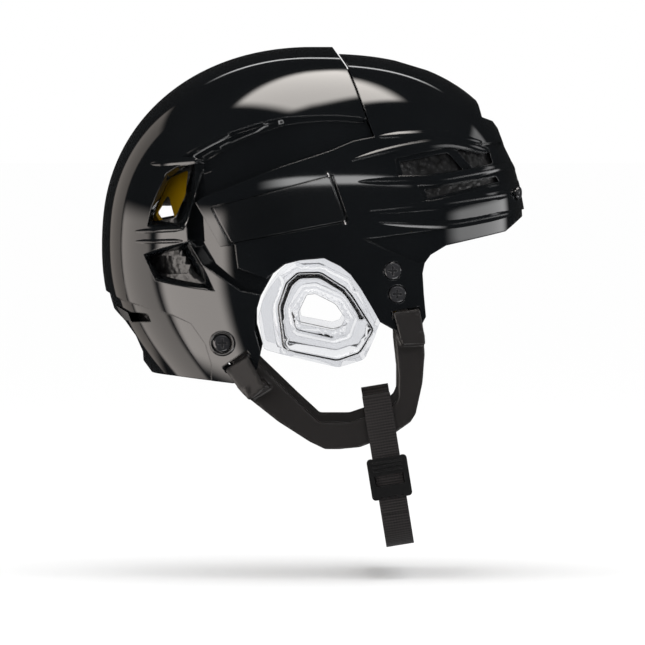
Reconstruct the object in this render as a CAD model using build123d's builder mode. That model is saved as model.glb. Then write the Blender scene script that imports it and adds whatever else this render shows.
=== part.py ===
"""Ice hockey helmet in two size-adjustable halves, with liners, pads, ear guards, slings and chin strap.

+X is forward, +Y is to the wearer's left and +Z is up. The origin is the middle of the head, at the
widest level.
"""

from build123d import *
from math import cos, pi, radians, sin, tan
import os

# Shells, millimetres
shell_length = 275.0
shell_height = 216.5
shell_width = 218.0
shell_wall = 2.8
brow_wall = 3.2
slide_gap = 0.6
crown_relief = 1.0
wing_rise = 0.6
size_travel = 12.0
overrun = 6.0

# Lower tuck of the shells: how far below the widest level each extent would close
rear_tuck_depth = 145.0
front_tuck_depth = 330.0
side_tuck_depth = 230.0

# Bevelled strip over the recess, vents and low panel
strip_slope = 48.0
strip_lean_angle = 7.0
vent_slope = 20.0
vent_wall = 9.0
low_panel_inset = 2.2
insert_rise = 1.2
groove_depth = 1.4

# Padding, from the shell inwards
seat_gap = 0.3
liner_wall = 12.0
slip_gap = 0.9
slip_wall = 1.4
pad_wall = 10.0
side_room = 3.0
anchor_radius = 7.0
anchor_gap = 0.2

# Fasteners and pins
screw_head_radius = 5.6
screw_head_height = 2.2
screw_shank_radius = 2.2
screw_hole_gap = 0.3
nut_radius = 7.0
nut_height = 1.6
brow_screw_radius = 4.2
brow_screw_spread = 62.0
brow_nut_radius = 5.5
brow_nut_sink = 2.3
nut_boss_radius = 3.8
nut_boss_height = 3.0
cross_length = 6.0
cross_width = 1.5
cross_depth = 1.1
head_round = 1.4
recess_ring_radius = 8.8
recess_radius = 6.2
lever_pin_radius = 0.6
knuckle_radius = 1.2
hinge_inset = 0.6
pin_seat = 2.5
pin_gap = 0.15
lever_running_gap = 0.4
tongue_clearance = 2.3

# Lock lever plate and its rack
plate_rise = 1.2
plate_wall = 2.4
pocket_gap = 1.5
tooth_pitch = 3.0
rack_inset = 1.9
rack_teeth = 8
lever_tooth_inset = 2.9
lever_teeth = 6

# Ear guards
guard_wall = 1.8
guard_depth = 6.8
guard_face_rise = 4.4
guard_rim_height = 1.2

# Slings and webbing
sling_wall = 3.6
flap_wall = 2.4
webbing_width = 18.0
webbing_wall = 1.5
webbing_corner = 22.0
strap_lean_angle = 9.2
strap_side = 87.5
strap_depth = 91.5
layer_gap = 3.3
bridge_rise = 5.0
fork_start = 30.0
fork_end = 33.5
double_end = 70.0
flap_gap = 0.8

# Slider and snap fastener
slider_wall = 2.2
slider_bar = 2.4
slider_gap = 0.35
slider_top = 34.0
slider_height = 26.5
slider_width = 26.0
slider_round = 2.5
front_window_top = 45.0
front_window_height = 7.0
back_bar_top = 41.0
back_bar_height = 12.0
rib_height = 0.8
rib_width = 1.2
rib_pitch = 2.6
notch_width = 2.2
notch_height = 1.8
notch_pitch = 4.4
snap_radius = 6.0
snap_height = 1.6
snap_depth = 50.0

# Proportions of the dome
widest_share = 0.5035
equator_share = 0.4204
rear_power = 2.15
front_power = 2.5
side_power = 2.3
plan_power = 2.2
under_plan_power = 1.75
plan_points = 12
crown_level_shares = [0.25, 0.5, 0.7, 0.85, 0.95, 0.99, 0.9995]
skirt_level_shares = [-1.0, -0.5, 0]
hole_softness_share = 0.25
guard_softness_share = 0.3
plate_softness_share = 0.12
strip_start_share = 0.755
vent_start_share = 0.62

# Outlines seen from the side: share of the shell's length from the rear, share of its height from the rim
rear_shell_shares = [
    (0.544, 1.06), (0.544, 1.000), (0.577, 0.940), (0.598, 0.874), (0.617, 0.808), (0.638, 0.733),
    (0.657, 0.526), (0.574, 0.426), (0.468, 0.390), (0.407, 0.330), (0.378, 0.264), (0.364, 0.204),
    (0.364, 0.159), (0.378, 0.096), (0.369, 0.048), (0.314, 0.003), (0.175, 0.021), (0.116, 0.026),
    (0.099, 0.054), (0.099, 0.090), (0.083, 0.138), (0.057, 0.183), (0.030, 0.216), (-0.04, 0.30),
    (-0.04, 1.06),
]
recess_shares = [
    (0.248, 0.655), (0.444, 0.745), (0.560, 0.772), (0.72, 0.79), (0.76, 0.50), (0.574, 0.30),
    (0.440, 0.20), (0.395, 0.262), (0.331, 0.278), (0.243, 0.354), (0.208, 0.426), (0.205, 0.474),
]
recess_band_shares = [
    (0.235, 0.705), (0.444, 0.790), (0.560, 0.815), (0.74, 0.83), (0.80, 0.50), (0.60, 0.24),
    (0.440, 0.17), (0.385, 0.225), (0.320, 0.240), (0.225, 0.330), (0.185, 0.416), (0.182, 0.490),
]
tongue_shares = [(0.375, 1.06), (0.375, 0.835), (0.60, 0.865), (0.68, 0.90), (0.68, 1.06)]
front_shell_shares = [
    (0.5475, 1.06), (0.5475, 1.000), (0.5805, 0.940), (0.6015, 0.874), (0.6205, 0.808), (0.6415, 0.733),
    (0.593, 0.721), (0.537, 0.691), (0.421, 0.643), (0.243, 0.553), (0.225, 0.538), (0.239, 0.508),
    (0.284, 0.408), (0.317, 0.414), (0.324, 0.345), (0.392, 0.315), (0.412, 0.335), (0.433, 0.357),
    (0.470, 0.369), (0.525, 0.375), (0.563, 0.351), (0.586, 0.327), (0.610, 0.285), (0.638, 0.225),
    (0.655, 0.186), (0.688, 0.162), (0.752, 0.177), (0.762, 0.201), (0.757, 0.270), (0.754, 0.330),
    (0.759, 0.360), (0.773, 0.384), (0.809, 0.411), (0.950, 0.450), (0.986, 0.486), (1.000, 0.498),
    (0.986, 0.586), (0.974, 0.640), (0.969, 0.652), (0.950, 0.700), (0.934, 0.757), (0.922, 0.778),
    (0.896, 0.790), (0.889, 0.826), (0.879, 0.853), (0.832, 0.889), (0.797, 0.916), (0.773, 0.928),
    (0.695, 0.958), (0.60, 1.00), (0.60, 1.06),
]
wing_cavity_shares = [
    (0.10, 1.06), (0.10, 0.10), (0.672, 0.10), (0.672, 0.9485), (0.60, 0.975), (0.55, 1.06),
]
brow_cavity_shares = [
    (0.672, 0.10), (0.90, 0.10), (0.985, 0.40), (0.987, 0.49), (0.973, 0.586), (0.955, 0.645),
    (0.936, 0.700), (0.920, 0.750), (0.905, 0.765), (0.880, 0.775), (0.872, 0.826), (0.862, 0.840),
    (0.820, 0.872), (0.780, 0.900), (0.695, 0.940), (0.672, 0.9485),
]
collar_shares = [
    (0.5475, 1.06), (0.5475, 1.000), (0.5805, 0.940), (0.6015, 0.874), (0.6205, 0.808), (0.6415, 0.733),
    (0.664, 0.733), (0.644, 0.808), (0.625, 0.874), (0.602, 0.945), (0.572, 1.000), (0.572, 1.06),
]
back_vent_shares = [
    (0.208, 0.634), (0.165, 0.610), (0.130, 0.514), (0.123, 0.480), (0.177, 0.492), (0.201, 0.559),
]
side_vent_shares = [(0.113, 0.378), (0.191, 0.381), (0.210, 0.327), (0.139, 0.324)]
low_panel_shares = [
    (-0.04, 0.300), (0.050, 0.246), (0.120, 0.222), (0.173, 0.204), (0.215, 0.180), (0.248, 0.120),
    (0.262, 0.060), (0.262, -0.04), (-0.04, -0.04),
]
strip_shares = [
    (0.248, 0.655), (0.444, 0.745), (0.560, 0.772), (0.72, 0.79), (0.72, 0.70), (0.56, 0.62),
    (0.30, 0.56),
]
vent_band_shares = [
    (0.26, 0.70), (0.14, 0.66), (0.07, 0.44), (0.07, 0.36), (0.10, 0.27), (0.26, 0.27), (0.30, 0.40),
]
low_vent_shares = [(0.066, 0.209), (0.113, 0.207), (0.120, 0.183), (0.074, 0.180)]
vent_insert_shares = [(0.036, 0.226), (0.064, 0.208), (0.072, 0.183), (0.055, 0.185)]
plate_shares = [(0.267, 0.523), (0.541, 0.616), (0.577, 0.486), (0.310, 0.420)]
plate_window_shares = [(0.312, 0.520), (0.505, 0.585), (0.522, 0.500), (0.335, 0.450)]
upper_front_vent_shares = [(0.700, 0.658), (0.813, 0.685), (0.851, 0.631), (0.709, 0.616)]
inner_front_vent_shares = [(0.832, 0.694), (0.908, 0.700), (0.920, 0.652), (0.872, 0.640)]
lower_front_vent_shares = [(0.759, 0.577), (0.927, 0.613), (0.934, 0.598), (0.766, 0.550)]
upper_groove_shares = [
    (0.690, 0.668), (0.810, 0.702), (0.945, 0.716), (0.968, 0.655), (0.870, 0.632), (0.700, 0.604),
]
lower_groove_shares = [
    (0.742, 0.590), (0.927, 0.632), (0.978, 0.632), (0.985, 0.600), (0.934, 0.590), (0.762, 0.540),
]
brow_step_shares = [
    (0.617, 0.432), (0.785, 0.459), (0.967, 0.508), (1.03, 0.52), (1.03, 0.40), (0.74, 0.36),
]
guard_shares = [
    (0.396, 0.283), (0.418, 0.320), (0.462, 0.366), (0.530, 0.392), (0.590, 0.375), (0.660, 0.372),
    (0.705, 0.365), (0.707, 0.308), (0.665, 0.295), (0.648, 0.265), (0.657, 0.192), (0.643, 0.141),
    (0.619, 0.075), (0.558, 0.051), (0.426, 0.090), (0.385, 0.105), (0.372, 0.201), (0.380, 0.243),
]
guard_face_shares = [
    (0.461, 0.336), (0.515, 0.339), (0.577, 0.291), (0.593, 0.267), (0.643, 0.159), (0.610, 0.093),
    (0.558, 0.069), (0.440, 0.099), (0.428, 0.108), (0.414, 0.231), (0.435, 0.306),
]
guard_rim_shares = [
    (0.478, 0.279), (0.506, 0.282), (0.567, 0.249), (0.593, 0.195), (0.579, 0.153), (0.546, 0.141),
    (0.459, 0.165), (0.449, 0.222),
]
guard_hole_shares = [
    (0.485, 0.267), (0.504, 0.270), (0.551, 0.240), (0.574, 0.198), (0.563, 0.171), (0.546, 0.162),
    (0.470, 0.180), (0.466, 0.216),
]
temple_screw_shares = [(0.684, 0.338), (0.695, 0.269)]
rear_screw_share = (0.288, 0.123)
brow_screw_share = 0.563
strap_top_share = (0.6496, -0.060)
front_slot_shares = [(0.682, 0.196), (0.749, 0.210), (0.747, 0.232), (0.680, 0.218)]
rear_slot_shares = [(0.298, 0.033), (0.355, 0.084), (0.345, 0.102), (0.288, 0.051)]


def profile(share, power):
    """Extent of a rounded form, as a share of its greatest, at a share of its height."""
    return max(0.0, 1 - abs(share) ** power) ** (1 / power)


rear_reach = shell_length * widest_share
crown_step = shell_wall + slide_gap + crown_relief
front_reach = shell_length - rear_reach + crown_step
rim_depth = shell_height * equator_share
crown_height = shell_height - rim_depth
half_width = shell_width / 2
prism_reach = half_width + overrun
skirt_depth = rim_depth + 3 * overrun


def at(share):
    """Side-view place of one pair of shares."""
    return (share[0] * shell_length - rear_reach, share[1] * shell_height - rim_depth)


def extents(height, length_inset, width_inset, crown_inset):
    """Rear, front and side reach of a dome at a height."""
    rear, front, side = rear_reach - length_inset, front_reach - length_inset, half_width - width_inset
    if height >= 0:
        level = height / (crown_height - crown_inset)
        return (
            rear * profile(level, rear_power),
            front * profile(level, front_power),
            side * profile(level, side_power),
        )
    return (
        rear * profile(height / rear_tuck_depth, 2) if height > -rear_tuck_depth else 0,
        front * profile(height / front_tuck_depth, 2),
        side * profile(height / side_tuck_depth, 2),
    )


def side_reach(forward, height, length_inset, width_inset, crown_inset):
    """Distance of a dome's side wall from the middle plane at a side-view place."""
    rear, front, side = extents(height, length_inset, width_inset, crown_inset)
    along = abs(forward) / (front if forward > 0 else rear)
    return side * profile(along, plan_power)


def dome(length_inset, width_inset, crown_inset, rear_plan_power=plan_power):
    """Right half of a closed dome form, smaller by the insets, cut a little past the middle."""
    heights = [share * skirt_depth for share in skirt_level_shares]
    heights += [share * (crown_height - crown_inset) for share in crown_level_shares]
    with BuildPart() as form:
        for height in heights:
            rear, front, side = extents(height, length_inset, width_inset, crown_inset)
            with BuildSketch(Plane.XY.offset(height)):
                with BuildLine():
                    points = []
                    for step in range(plan_points):
                        angle = 2 * pi * step / plan_points
                        along = abs(cos(angle)) / (front if cos(angle) > 0 else rear)
                        across = abs(sin(angle)) / side
                        power = plan_power if cos(angle) > 0 else rear_plan_power
                        reach = (along**power + across**power) ** (-1 / power)
                        points.append((reach * cos(angle), reach * sin(angle)))
                    Spline(*points, periodic=True)
                make_face()
        loft()
        split(bisect_by=Plane.XZ.offset(-overrun))
    return form.part


def even_dome(inset):
    """Dome inset alike all round, for the rear half."""
    return dome(inset, inset, inset)


def front_dome(inset):
    """Dome inset from the front half's outer face, which is low at the crown and proud at the sides."""
    return dome(crown_step + inset, inset - wing_rise, crown_step + inset)


def under_dome(inset):
    """Form under the wings, drawn in behind the widest level so that the rear half can slide back."""
    return dome(crown_step + inset, inset - wing_rise, crown_step + inset, under_plan_power)


def rounded_loop(points, softness_share):
    """Closed outline whose corners are arcs that use the given share of their shorter run."""
    if softness_share == 0:
        Polyline(*points, close=True)
        return
    count = len(points)
    stops = []
    for index in range(count):
        corner = Vector(points[index])
        into = corner - Vector(points[index - 1])
        out = Vector(points[(index + 1) % count]) - corner
        tangent = softness_share * min(into.length, out.length) / 2
        turn = radians(into.get_angle(out))
        start = corner - into.normalized() * tangent
        end = corner + out.normalized() * tangent
        radius = tangent / tan(turn / 2)
        inward = (out.normalized() - into.normalized()).normalized()
        middle = corner + inward * (radius / cos(turn / 2) - radius)
        stops.append((start, middle, end))
    for index in range(count):
        ThreePointArc(*stops[index])
        Line(stops[index][2], stops[(index + 1) % count][0])


def side_prism(shares, softness_share=0.0, past=overrun, holes=(), bores=(), bore_radius=0.0):
    """Bar out to the wearer's right from a little past the middle, with outline and holes in shares."""
    with BuildPart() as prism:
        with BuildSketch(Plane.XZ.offset(-past)):
            with BuildLine():
                rounded_loop([at(share) for share in shares], softness_share)
            make_face()
            for hole in holes:
                with BuildLine():
                    rounded_loop([at(share) for share in hole], hole_softness_share)
                make_face(mode=Mode.SUBTRACT)
            if bores:
                with Locations(*[at(bore) for bore in bores]):
                    Circle(bore_radius, mode=Mode.SUBTRACT)
        extrude(amount=prism_reach + past)
    return prism.part


def flared_prism(shares, start, slope, lean=0.0):
    """Bar on the right that grows outwards from a start distance, on a plane that leans in at the rear."""
    along = (cos(lean), -sin(lean), 0)
    plane = Plane(origin=(0, -start, 0), x_dir=along, z_dir=(-sin(lean), -cos(lean), 0))
    with BuildPart() as prism:
        with BuildSketch(plane):
            with BuildLine():
                rounded_loop([(at(share)[0] / cos(lean), at(share)[1]) for share in shares], 0)
            make_face()
        extrude(amount=prism_reach - start, taper=-slope)
    return prism.part


def grown(shares, gap):
    """Outline pushed out from its own middle by a gap."""
    middle_along = sum(share[0] for share in shares) / len(shares)
    middle_up = sum(share[1] for share in shares) / len(shares)
    larger = []
    for along, up in shares:
        away = Vector((along - middle_along) * shell_length, (up - middle_up) * shell_height)
        away = away.normalized() * gap
        larger.append((along + away.X / shell_length, up + away.Y / shell_height))
    return larger


def side_post(place, radius, start, end):
    """Round bar on the right, centred on a side-view place, between two distances from the middle plane."""
    with BuildPart() as post:
        with BuildSketch(Plane.XZ.offset(start)):
            with Locations(place):
                Circle(radius)
        extrude(amount=end - start)
    return post.part


def mirrored(part):
    """The same piece on the wearer's other side."""
    return mirror(part, about=Plane.XZ)


def write(name, piece):
    """Label a finished piece and write its file."""
    piece.part.label = name
    export_step(piece.part, f"parts/{name}.step")


def write_pair(name, piece):
    """Write a right-hand piece and its mirror image."""
    write(f"right_{name}", piece)
    with BuildPart() as other:
        add(mirrored(piece.part))
    write(f"left_{name}", other)


os.makedirs("parts", exist_ok=True)

# Forms that the layers are cut from
cap_outer = even_dome(0)
cap_inner = even_dome(shell_wall)
front_outer = front_dome(0)
front_inner = front_dome(shell_wall)
under_inset = shell_wall + slide_gap
under_outer = under_dome(under_inset)
under_inner = under_dome(under_inset + shell_wall)
tongue_outer = even_dome(crown_step)
tongue_inner = even_dome(crown_step + shell_wall)
liner_inset = under_inset + shell_wall + seat_gap
liner_side = under_dome(liner_inset)
liner_inner = front_dome(liner_inset + liner_wall)
slip_inset = liner_inset + liner_wall + slip_gap
slip_outer = front_dome(slip_inset)
slip_inner = front_dome(slip_inset + slip_wall)
pad_inset = slip_inset + slip_wall + seat_gap
pad_outer = front_dome(pad_inset)
pad_inner = front_dome(pad_inset + pad_wall)

# Rear shell: crown cap, recess under the wings, vents with deep bevels, lower panel under a lip
strip_start = half_width * strip_start_share
strip_lean = radians(strip_lean_angle)
vent_start = half_width * vent_start_share
screw_bore = screw_shank_radius + screw_hole_gap
rear_screw_place = at(rear_screw_share)
rear_screw_face = side_reach(*rear_screw_place, 0, 0, 0)
rear_screw_floor = rear_screw_face - screw_head_height - seat_gap
nut_seat = rear_screw_floor - shell_wall
recess_band = side_prism(recess_band_shares)
vent_band = side_prism(vent_band_shares)
low_panel = side_prism(low_panel_shares)
rear_holes = [back_vent_shares, side_vent_shares, rear_slot_shares]
with BuildPart() as rear_shell:
    add(cap_outer)
    add(
        side_prism(rear_shell_shares, 0.0, 0, rear_holes, [rear_screw_share], screw_bore),
        mode=Mode.INTERSECT,
    )
    add(cap_inner - recess_band - vent_band - low_panel, mode=Mode.SUBTRACT)
    add(even_dome(vent_wall) - recess_band, mode=Mode.SUBTRACT)
    add(under_inner, mode=Mode.SUBTRACT)
    add(side_prism(recess_shares) - under_outer, mode=Mode.SUBTRACT)
    strip = flared_prism(strip_shares, strip_start, strip_slope, strip_lean)
    add(strip - under_outer, mode=Mode.SUBTRACT)
    add(low_panel - even_dome(low_panel_inset), mode=Mode.SUBTRACT)
    add(flared_prism(back_vent_shares, vent_start, vent_slope), mode=Mode.SUBTRACT)
    add(flared_prism(side_vent_shares, vent_start, vent_slope), mode=Mode.SUBTRACT)
    add(side_prism(low_vent_shares, 0.0, -half_width / 4), mode=Mode.SUBTRACT)
    recess_ring = side_post(rear_screw_place, recess_ring_radius, nut_seat, prism_reach)
    add(recess_ring & cap_outer)
    add(side_post(rear_screw_place, recess_radius, rear_screw_floor, prism_reach), mode=Mode.SUBTRACT)
    add(side_post(rear_screw_place, screw_bore, half_width / 2, prism_reach), mode=Mode.SUBTRACT)
    nut_room = side_post(rear_screw_place, nut_radius + screw_hole_gap, half_width / 2, nut_seat)
    add(nut_room, mode=Mode.SUBTRACT)
    mirror(about=Plane.XZ)
write("rear_shell", rear_shell)

# Front shell: brow, bars and grooves, temple tabs, wings, and a tongue that stays under the crown cap
plate_inset = plate_wall - plate_rise
pocket_inset = plate_inset + seat_gap
front_holes = [
    upper_front_vent_shares, inner_front_vent_shares, lower_front_vent_shares, front_slot_shares,
]
grooves = side_prism(upper_groove_shares) + side_prism(lower_groove_shares)
grooves += side_prism(brow_step_shares)


def low_face(place, radius, inset):
    """Lowest distance of a front form's face under a round head."""
    return min(
        side_reach(
            place[0] + radius * cos(turn), place[1] + radius * sin(turn),
            crown_step + inset, inset - wing_rise, crown_step + inset,
        )
        for turn in (0, pi / 2, pi, -pi / 2)
    )


def hinge_place(share):
    """End of the lever's hinge line under one corner of the side plate."""
    forward, height = at(share)
    low_inset = crown_step + hinge_inset
    side = side_reach(forward, height, low_inset, hinge_inset - wing_rise, low_inset)
    return Vector(forward - knuckle_radius, -side, height)


hinge_high, hinge_low = hinge_place(plate_shares[1]), hinge_place(plate_shares[2])
hinge_line = (hinge_low - hinge_high).normalized()
hinge_length = (hinge_low - hinge_high).length


def hinge_bar(start, end, radius):
    """Round bar along the lever's hinge line, between two distances below its top end."""
    with BuildPart() as bar:
        with BuildSketch(Plane(origin=hinge_high + hinge_line * start, z_dir=hinge_line)):
            Circle(radius)
        extrude(amount=end - start)
    return bar.part


brow_height = at((0, brow_screw_share))[1]


def brow_reach(across, inset):
    """Forward reach of the front shell at the brow screws' height."""
    low_inset = crown_step + inset
    rear, front, side = extents(brow_height, low_inset, inset - wing_rise, low_inset)
    return front * profile(across / side, plan_power)


brow_across = brow_screw_spread / 2
near_reach = brow_reach(brow_across - brow_screw_radius, 0)
far_reach = brow_reach(brow_across + brow_screw_radius, 0)
brow_turn = (near_reach - far_reach) / (2 * brow_screw_radius)
brow_normal = Vector(1, -brow_turn, 0).normalized()
brow_seat = Vector(brow_reach(brow_across, 0), -brow_across, brow_height) + brow_normal * seat_gap
brow_plane = Plane(origin=brow_seat, x_dir=Vector(0, 0, 1), z_dir=brow_normal)
brow_grip = brow_wall + brow_nut_sink + nut_height + nut_boss_height


def brow_bar(radius, start, end):
    """Round bar on the right brow screw's line, between two distances in from the screw's seat."""
    with BuildPart() as bar:
        with BuildSketch(brow_plane.offset(-start)):
            Circle(radius)
        extrude(amount=start - end)
    return bar.part


knuckle_room_radius = knuckle_radius + lever_running_gap
lever_room = hinge_bar(-lever_running_gap, hinge_length + lever_running_gap, knuckle_room_radius)
pin_end = pin_seat + pin_gap
lever_room += hinge_bar(-pin_end, hinge_length + pin_end, lever_pin_radius + pin_gap)
with BuildPart() as front_shell:
    add(front_outer)
    add(
        side_prism(front_shell_shares, 0.0, 0, front_holes, temple_screw_shares, screw_bore),
        mode=Mode.INTERSECT,
    )
    add(front_inner & side_prism(wing_cavity_shares), mode=Mode.SUBTRACT)
    add(front_dome(brow_wall) & side_prism(brow_cavity_shares), mode=Mode.SUBTRACT)
    add(grooves - front_dome(groove_depth), mode=Mode.SUBTRACT)
    pocket = side_prism(grown(plate_shares, pocket_gap))
    add(pocket - front_dome(pocket_inset), mode=Mode.SUBTRACT)
    add(side_prism(plate_window_shares, 0.0, -half_width / 2), mode=Mode.SUBTRACT)
    add(lever_room, mode=Mode.SUBTRACT)
    add(brow_bar(screw_bore, -overrun, 2 * overrun), mode=Mode.SUBTRACT)
    for share in temple_screw_shares:
        seat = low_face(at(share), screw_head_radius, 0)
        head_room = side_post(at(share), screw_head_radius + screw_hole_gap, seat, prism_reach)
        add(head_room, mode=Mode.SUBTRACT)
    add((tongue_outer - tongue_inner) & side_prism(tongue_shares, 0.0, 0))
    add((front_outer - tongue_inner) & side_prism(collar_shares, 0.0, 0))
    mirror(about=Plane.XZ)
write("front_shell", front_shell)

# Foam liners, one glued in each half, with the shells' vents carried through
liner_band_shares = [(0.40, 1.06), (0.68, 1.06), (0.68, 0.20), (0.40, 0.20)]
rear_liner_shares = [
    (-0.04, 1.06), (0.52, 1.06), (0.52, 0.62), (0.46, 0.42), (0.36, 0.34), (0.33, 0.20), (0.245, 0.185),
    (0.235, 0.08), (-0.04, 0.08),
]
front_liner_shares = [
    (0.545, 1.06), (0.545, 0.62), (0.60, 0.49), (0.66, 0.44), (0.74, 0.42), (0.78, 0.44), (0.93, 0.47),
    (0.96, 0.49), (0.945, 0.60), (0.915, 0.70), (0.87, 0.76), (0.80, 0.86), (0.69, 0.92), (0.60, 0.96),
    (0.59, 1.06),
]
tongue_room = side_prism(grown(tongue_shares, size_travel))
front_side_room = side_prism(liner_band_shares) - front_dome(liner_inset + side_room)
brow_nut_room = brow_bar(brow_nut_radius + screw_hole_gap, 0, brow_grip + seat_gap)
with BuildPart() as rear_liner:
    add(even_dome(shell_wall + seat_gap))
    add(
        side_prism(rear_liner_shares, 0.0, 0, [back_vent_shares, side_vent_shares]),
        mode=Mode.INTERSECT,
    )
    add(recess_band - liner_side, mode=Mode.SUBTRACT)
    add(vent_band + low_panel - even_dome(vent_wall + seat_gap), mode=Mode.SUBTRACT)
    add(tongue_room - even_dome(crown_step + shell_wall + tongue_clearance), mode=Mode.SUBTRACT)
    add(liner_inner, mode=Mode.SUBTRACT)
    mirror(about=Plane.XZ)
write("rear_liner", rear_liner)
with BuildPart() as front_liner:
    add(front_dome(brow_wall + seat_gap))
    add(side_prism(front_liner_shares, 0.0, 0), mode=Mode.INTERSECT)
    add(front_side_room, mode=Mode.SUBTRACT)
    add(brow_nut_room, mode=Mode.SUBTRACT)
    add(liner_inner, mode=Mode.SUBTRACT)
    mirror(about=Plane.XZ)
write("front_liner", front_liner)

# Low friction slip liners, free to turn a little under the foam
rear_slip_shares = [(-0.04, 1.06), (0.50, 1.06), (0.50, 0.64), (0.40, 0.52), (0.26, 0.48), (-0.04, 0.40)]
front_slip_shares = [
    (0.565, 1.06), (0.565, 0.64), (0.66, 0.52), (0.90, 0.52), (0.90, 0.70), (0.84, 0.80), (0.66, 0.93),
    (0.61, 1.06),
]
slip_hole_shares = [(0.16, 0.56), (0.13, 0.50), (0.15, 0.46), (0.18, 0.47)]
for name, outline, holes in (
    ("rear_slip_liner", rear_slip_shares, [slip_hole_shares]),
    ("front_slip_liner", front_slip_shares, ()),
):
    with BuildPart() as slip_liner:
        add(slip_outer)
        add(side_prism(outline, 0.0, 0, holes), mode=Mode.INTERSECT)
        add(slip_inner, mode=Mode.SUBTRACT)
        mirror(about=Plane.XZ)
    write(name, slip_liner)

# Comfort pads: those over the slip liners ride on them, the others sit on the foam
forehead_pad_shares = [(0.74, 0.52), (0.93, 0.54), (0.93, 0.68), (0.74, 0.66)]
crown_pad_shares = [(0.30, 1.06), (0.30, 0.80), (0.47, 0.80), (0.47, 1.06)]
rear_pad_shares = [(0.04, 0.52), (0.20, 0.52), (0.20, 0.68), (0.04, 0.68)]
nape_pad_shares = [(0.04, 0.16), (0.24, 0.16), (0.26, 0.34), (0.04, 0.34)]
temple_pad_shares = [(0.60, 0.50), (0.70, 0.45), (0.71, 0.49), (0.64, 0.515)]
side_pad_shares = [(0.28, 0.54), (0.44, 0.60), (0.44, 0.76), (0.28, 0.70)]
for name, outline in (
    ("forehead_pad", forehead_pad_shares),
    ("crown_pad", crown_pad_shares),
    ("rear_pad", rear_pad_shares),
):
    with BuildPart() as pad:
        add(pad_outer)
        add(side_prism(outline, 0.0, 0), mode=Mode.INTERSECT)
        add(pad_inner, mode=Mode.SUBTRACT)
        mirror(about=Plane.XZ)
    write(name, pad)
foam_pad_inset = liner_inset + liner_wall + seat_gap
foam_pad_outer = front_dome(foam_pad_inset)
foam_pad_inner = front_dome(foam_pad_inset + pad_wall)
with BuildPart() as nape_pad:
    add(foam_pad_outer)
    add(side_prism(nape_pad_shares, 0.0, 0), mode=Mode.INTERSECT)
    add(foam_pad_inner, mode=Mode.SUBTRACT)
    mirror(about=Plane.XZ)
write("nape_pad", nape_pad)
for name, outline, outer, inner in (
    ("temple_pad", temple_pad_shares, foam_pad_outer, foam_pad_inner),
    ("side_pad", side_pad_shares, pad_outer, pad_inner),
):
    with BuildPart() as pad:
        add(outer)
        add(side_prism(outline, 0.0, -half_width / 3), mode=Mode.INTERSECT)
        add(inner, mode=Mode.SUBTRACT)
    write_pair(name, pad)

# Elastomer anchors between foam and slip liners at the crown
anchor_shares = {"rear_slip_anchor": 0.400, "front_slip_anchor": 0.600}
for name, along in anchor_shares.items():
    with BuildPart() as anchor:
        with BuildSketch(Plane.XY):
            with Locations((at((along, 0))[0], 0)):
                Circle(anchor_radius)
        extrude(amount=crown_height)
        split(bisect_by=Plane.XZ, keep=Keep.TOP)
        add(front_dome(liner_inset + liner_wall + anchor_gap), mode=Mode.INTERSECT)
        add(front_dome(slip_inset - anchor_gap), mode=Mode.SUBTRACT)
        mirror(about=Plane.XZ)
    write(name, anchor)

# Ear guards: flange inside the shell, raised face, rimmed hole, and a lug to the upper temple screw
flange_outer = front_dome(guard_depth)
flange_inner = front_dome(guard_depth + guard_wall)
face_outer = front_dome(guard_depth - guard_face_rise)
face_inner = front_dome(guard_depth - guard_face_rise + guard_wall)
rim_outer = front_dome(guard_depth - guard_face_rise - guard_rim_height)
with BuildPart() as ear_guard:
    add(flange_outer)
    add(side_prism(guard_shares, guard_softness_share, -half_width / 3), mode=Mode.INTERSECT)
    add(flange_inner, mode=Mode.SUBTRACT)
    face = side_prism(guard_face_shares, guard_softness_share, -half_width / 3)
    add((face_outer & face) - flange_inner)
    rim = side_prism(guard_rim_shares, guard_softness_share, -half_width / 3)
    add((rim_outer & rim) - flange_inner)
    hollow = side_prism(grown(guard_face_shares, -guard_wall), guard_softness_share)
    add(face_inner & hollow, mode=Mode.SUBTRACT)
    add(side_prism(guard_hole_shares, guard_softness_share), mode=Mode.SUBTRACT)
    lug_bore = side_post(at(temple_screw_shares[0]), screw_bore, half_width / 3, prism_reach)
    add(lug_bore, mode=Mode.SUBTRACT)
write_pair("ear_guard", ear_guard)

# Lock levers: side plates that swing on the wings, with pins, and toothed racks on the rear shell
tooth_share = tooth_pitch / shell_length
lever_plate_shares = [
    plate_shares[0],
    (plate_shares[1][0] - knuckle_radius / shell_length, plate_shares[1][1]),
    (plate_shares[2][0] - knuckle_radius / shell_length, plate_shares[2][1]),
    plate_shares[3],
]
rack_line_shares = (0.496, 0.501, 0.517, 0.524)
lever_line_shares = (0.482, 0.546, 0.5325, 0.5255)


def toothed(front, base, root, tip, count):
    """Outline of a toothed strip, in shares, running back from its front end."""
    points = [(front, base)]
    for step in range(count):
        points += [(front - step * tooth_share, root), (front - (step + 0.5) * tooth_share, tip)]
    end = front - count * tooth_share
    return points + [(end, root), (end, base)]


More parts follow.
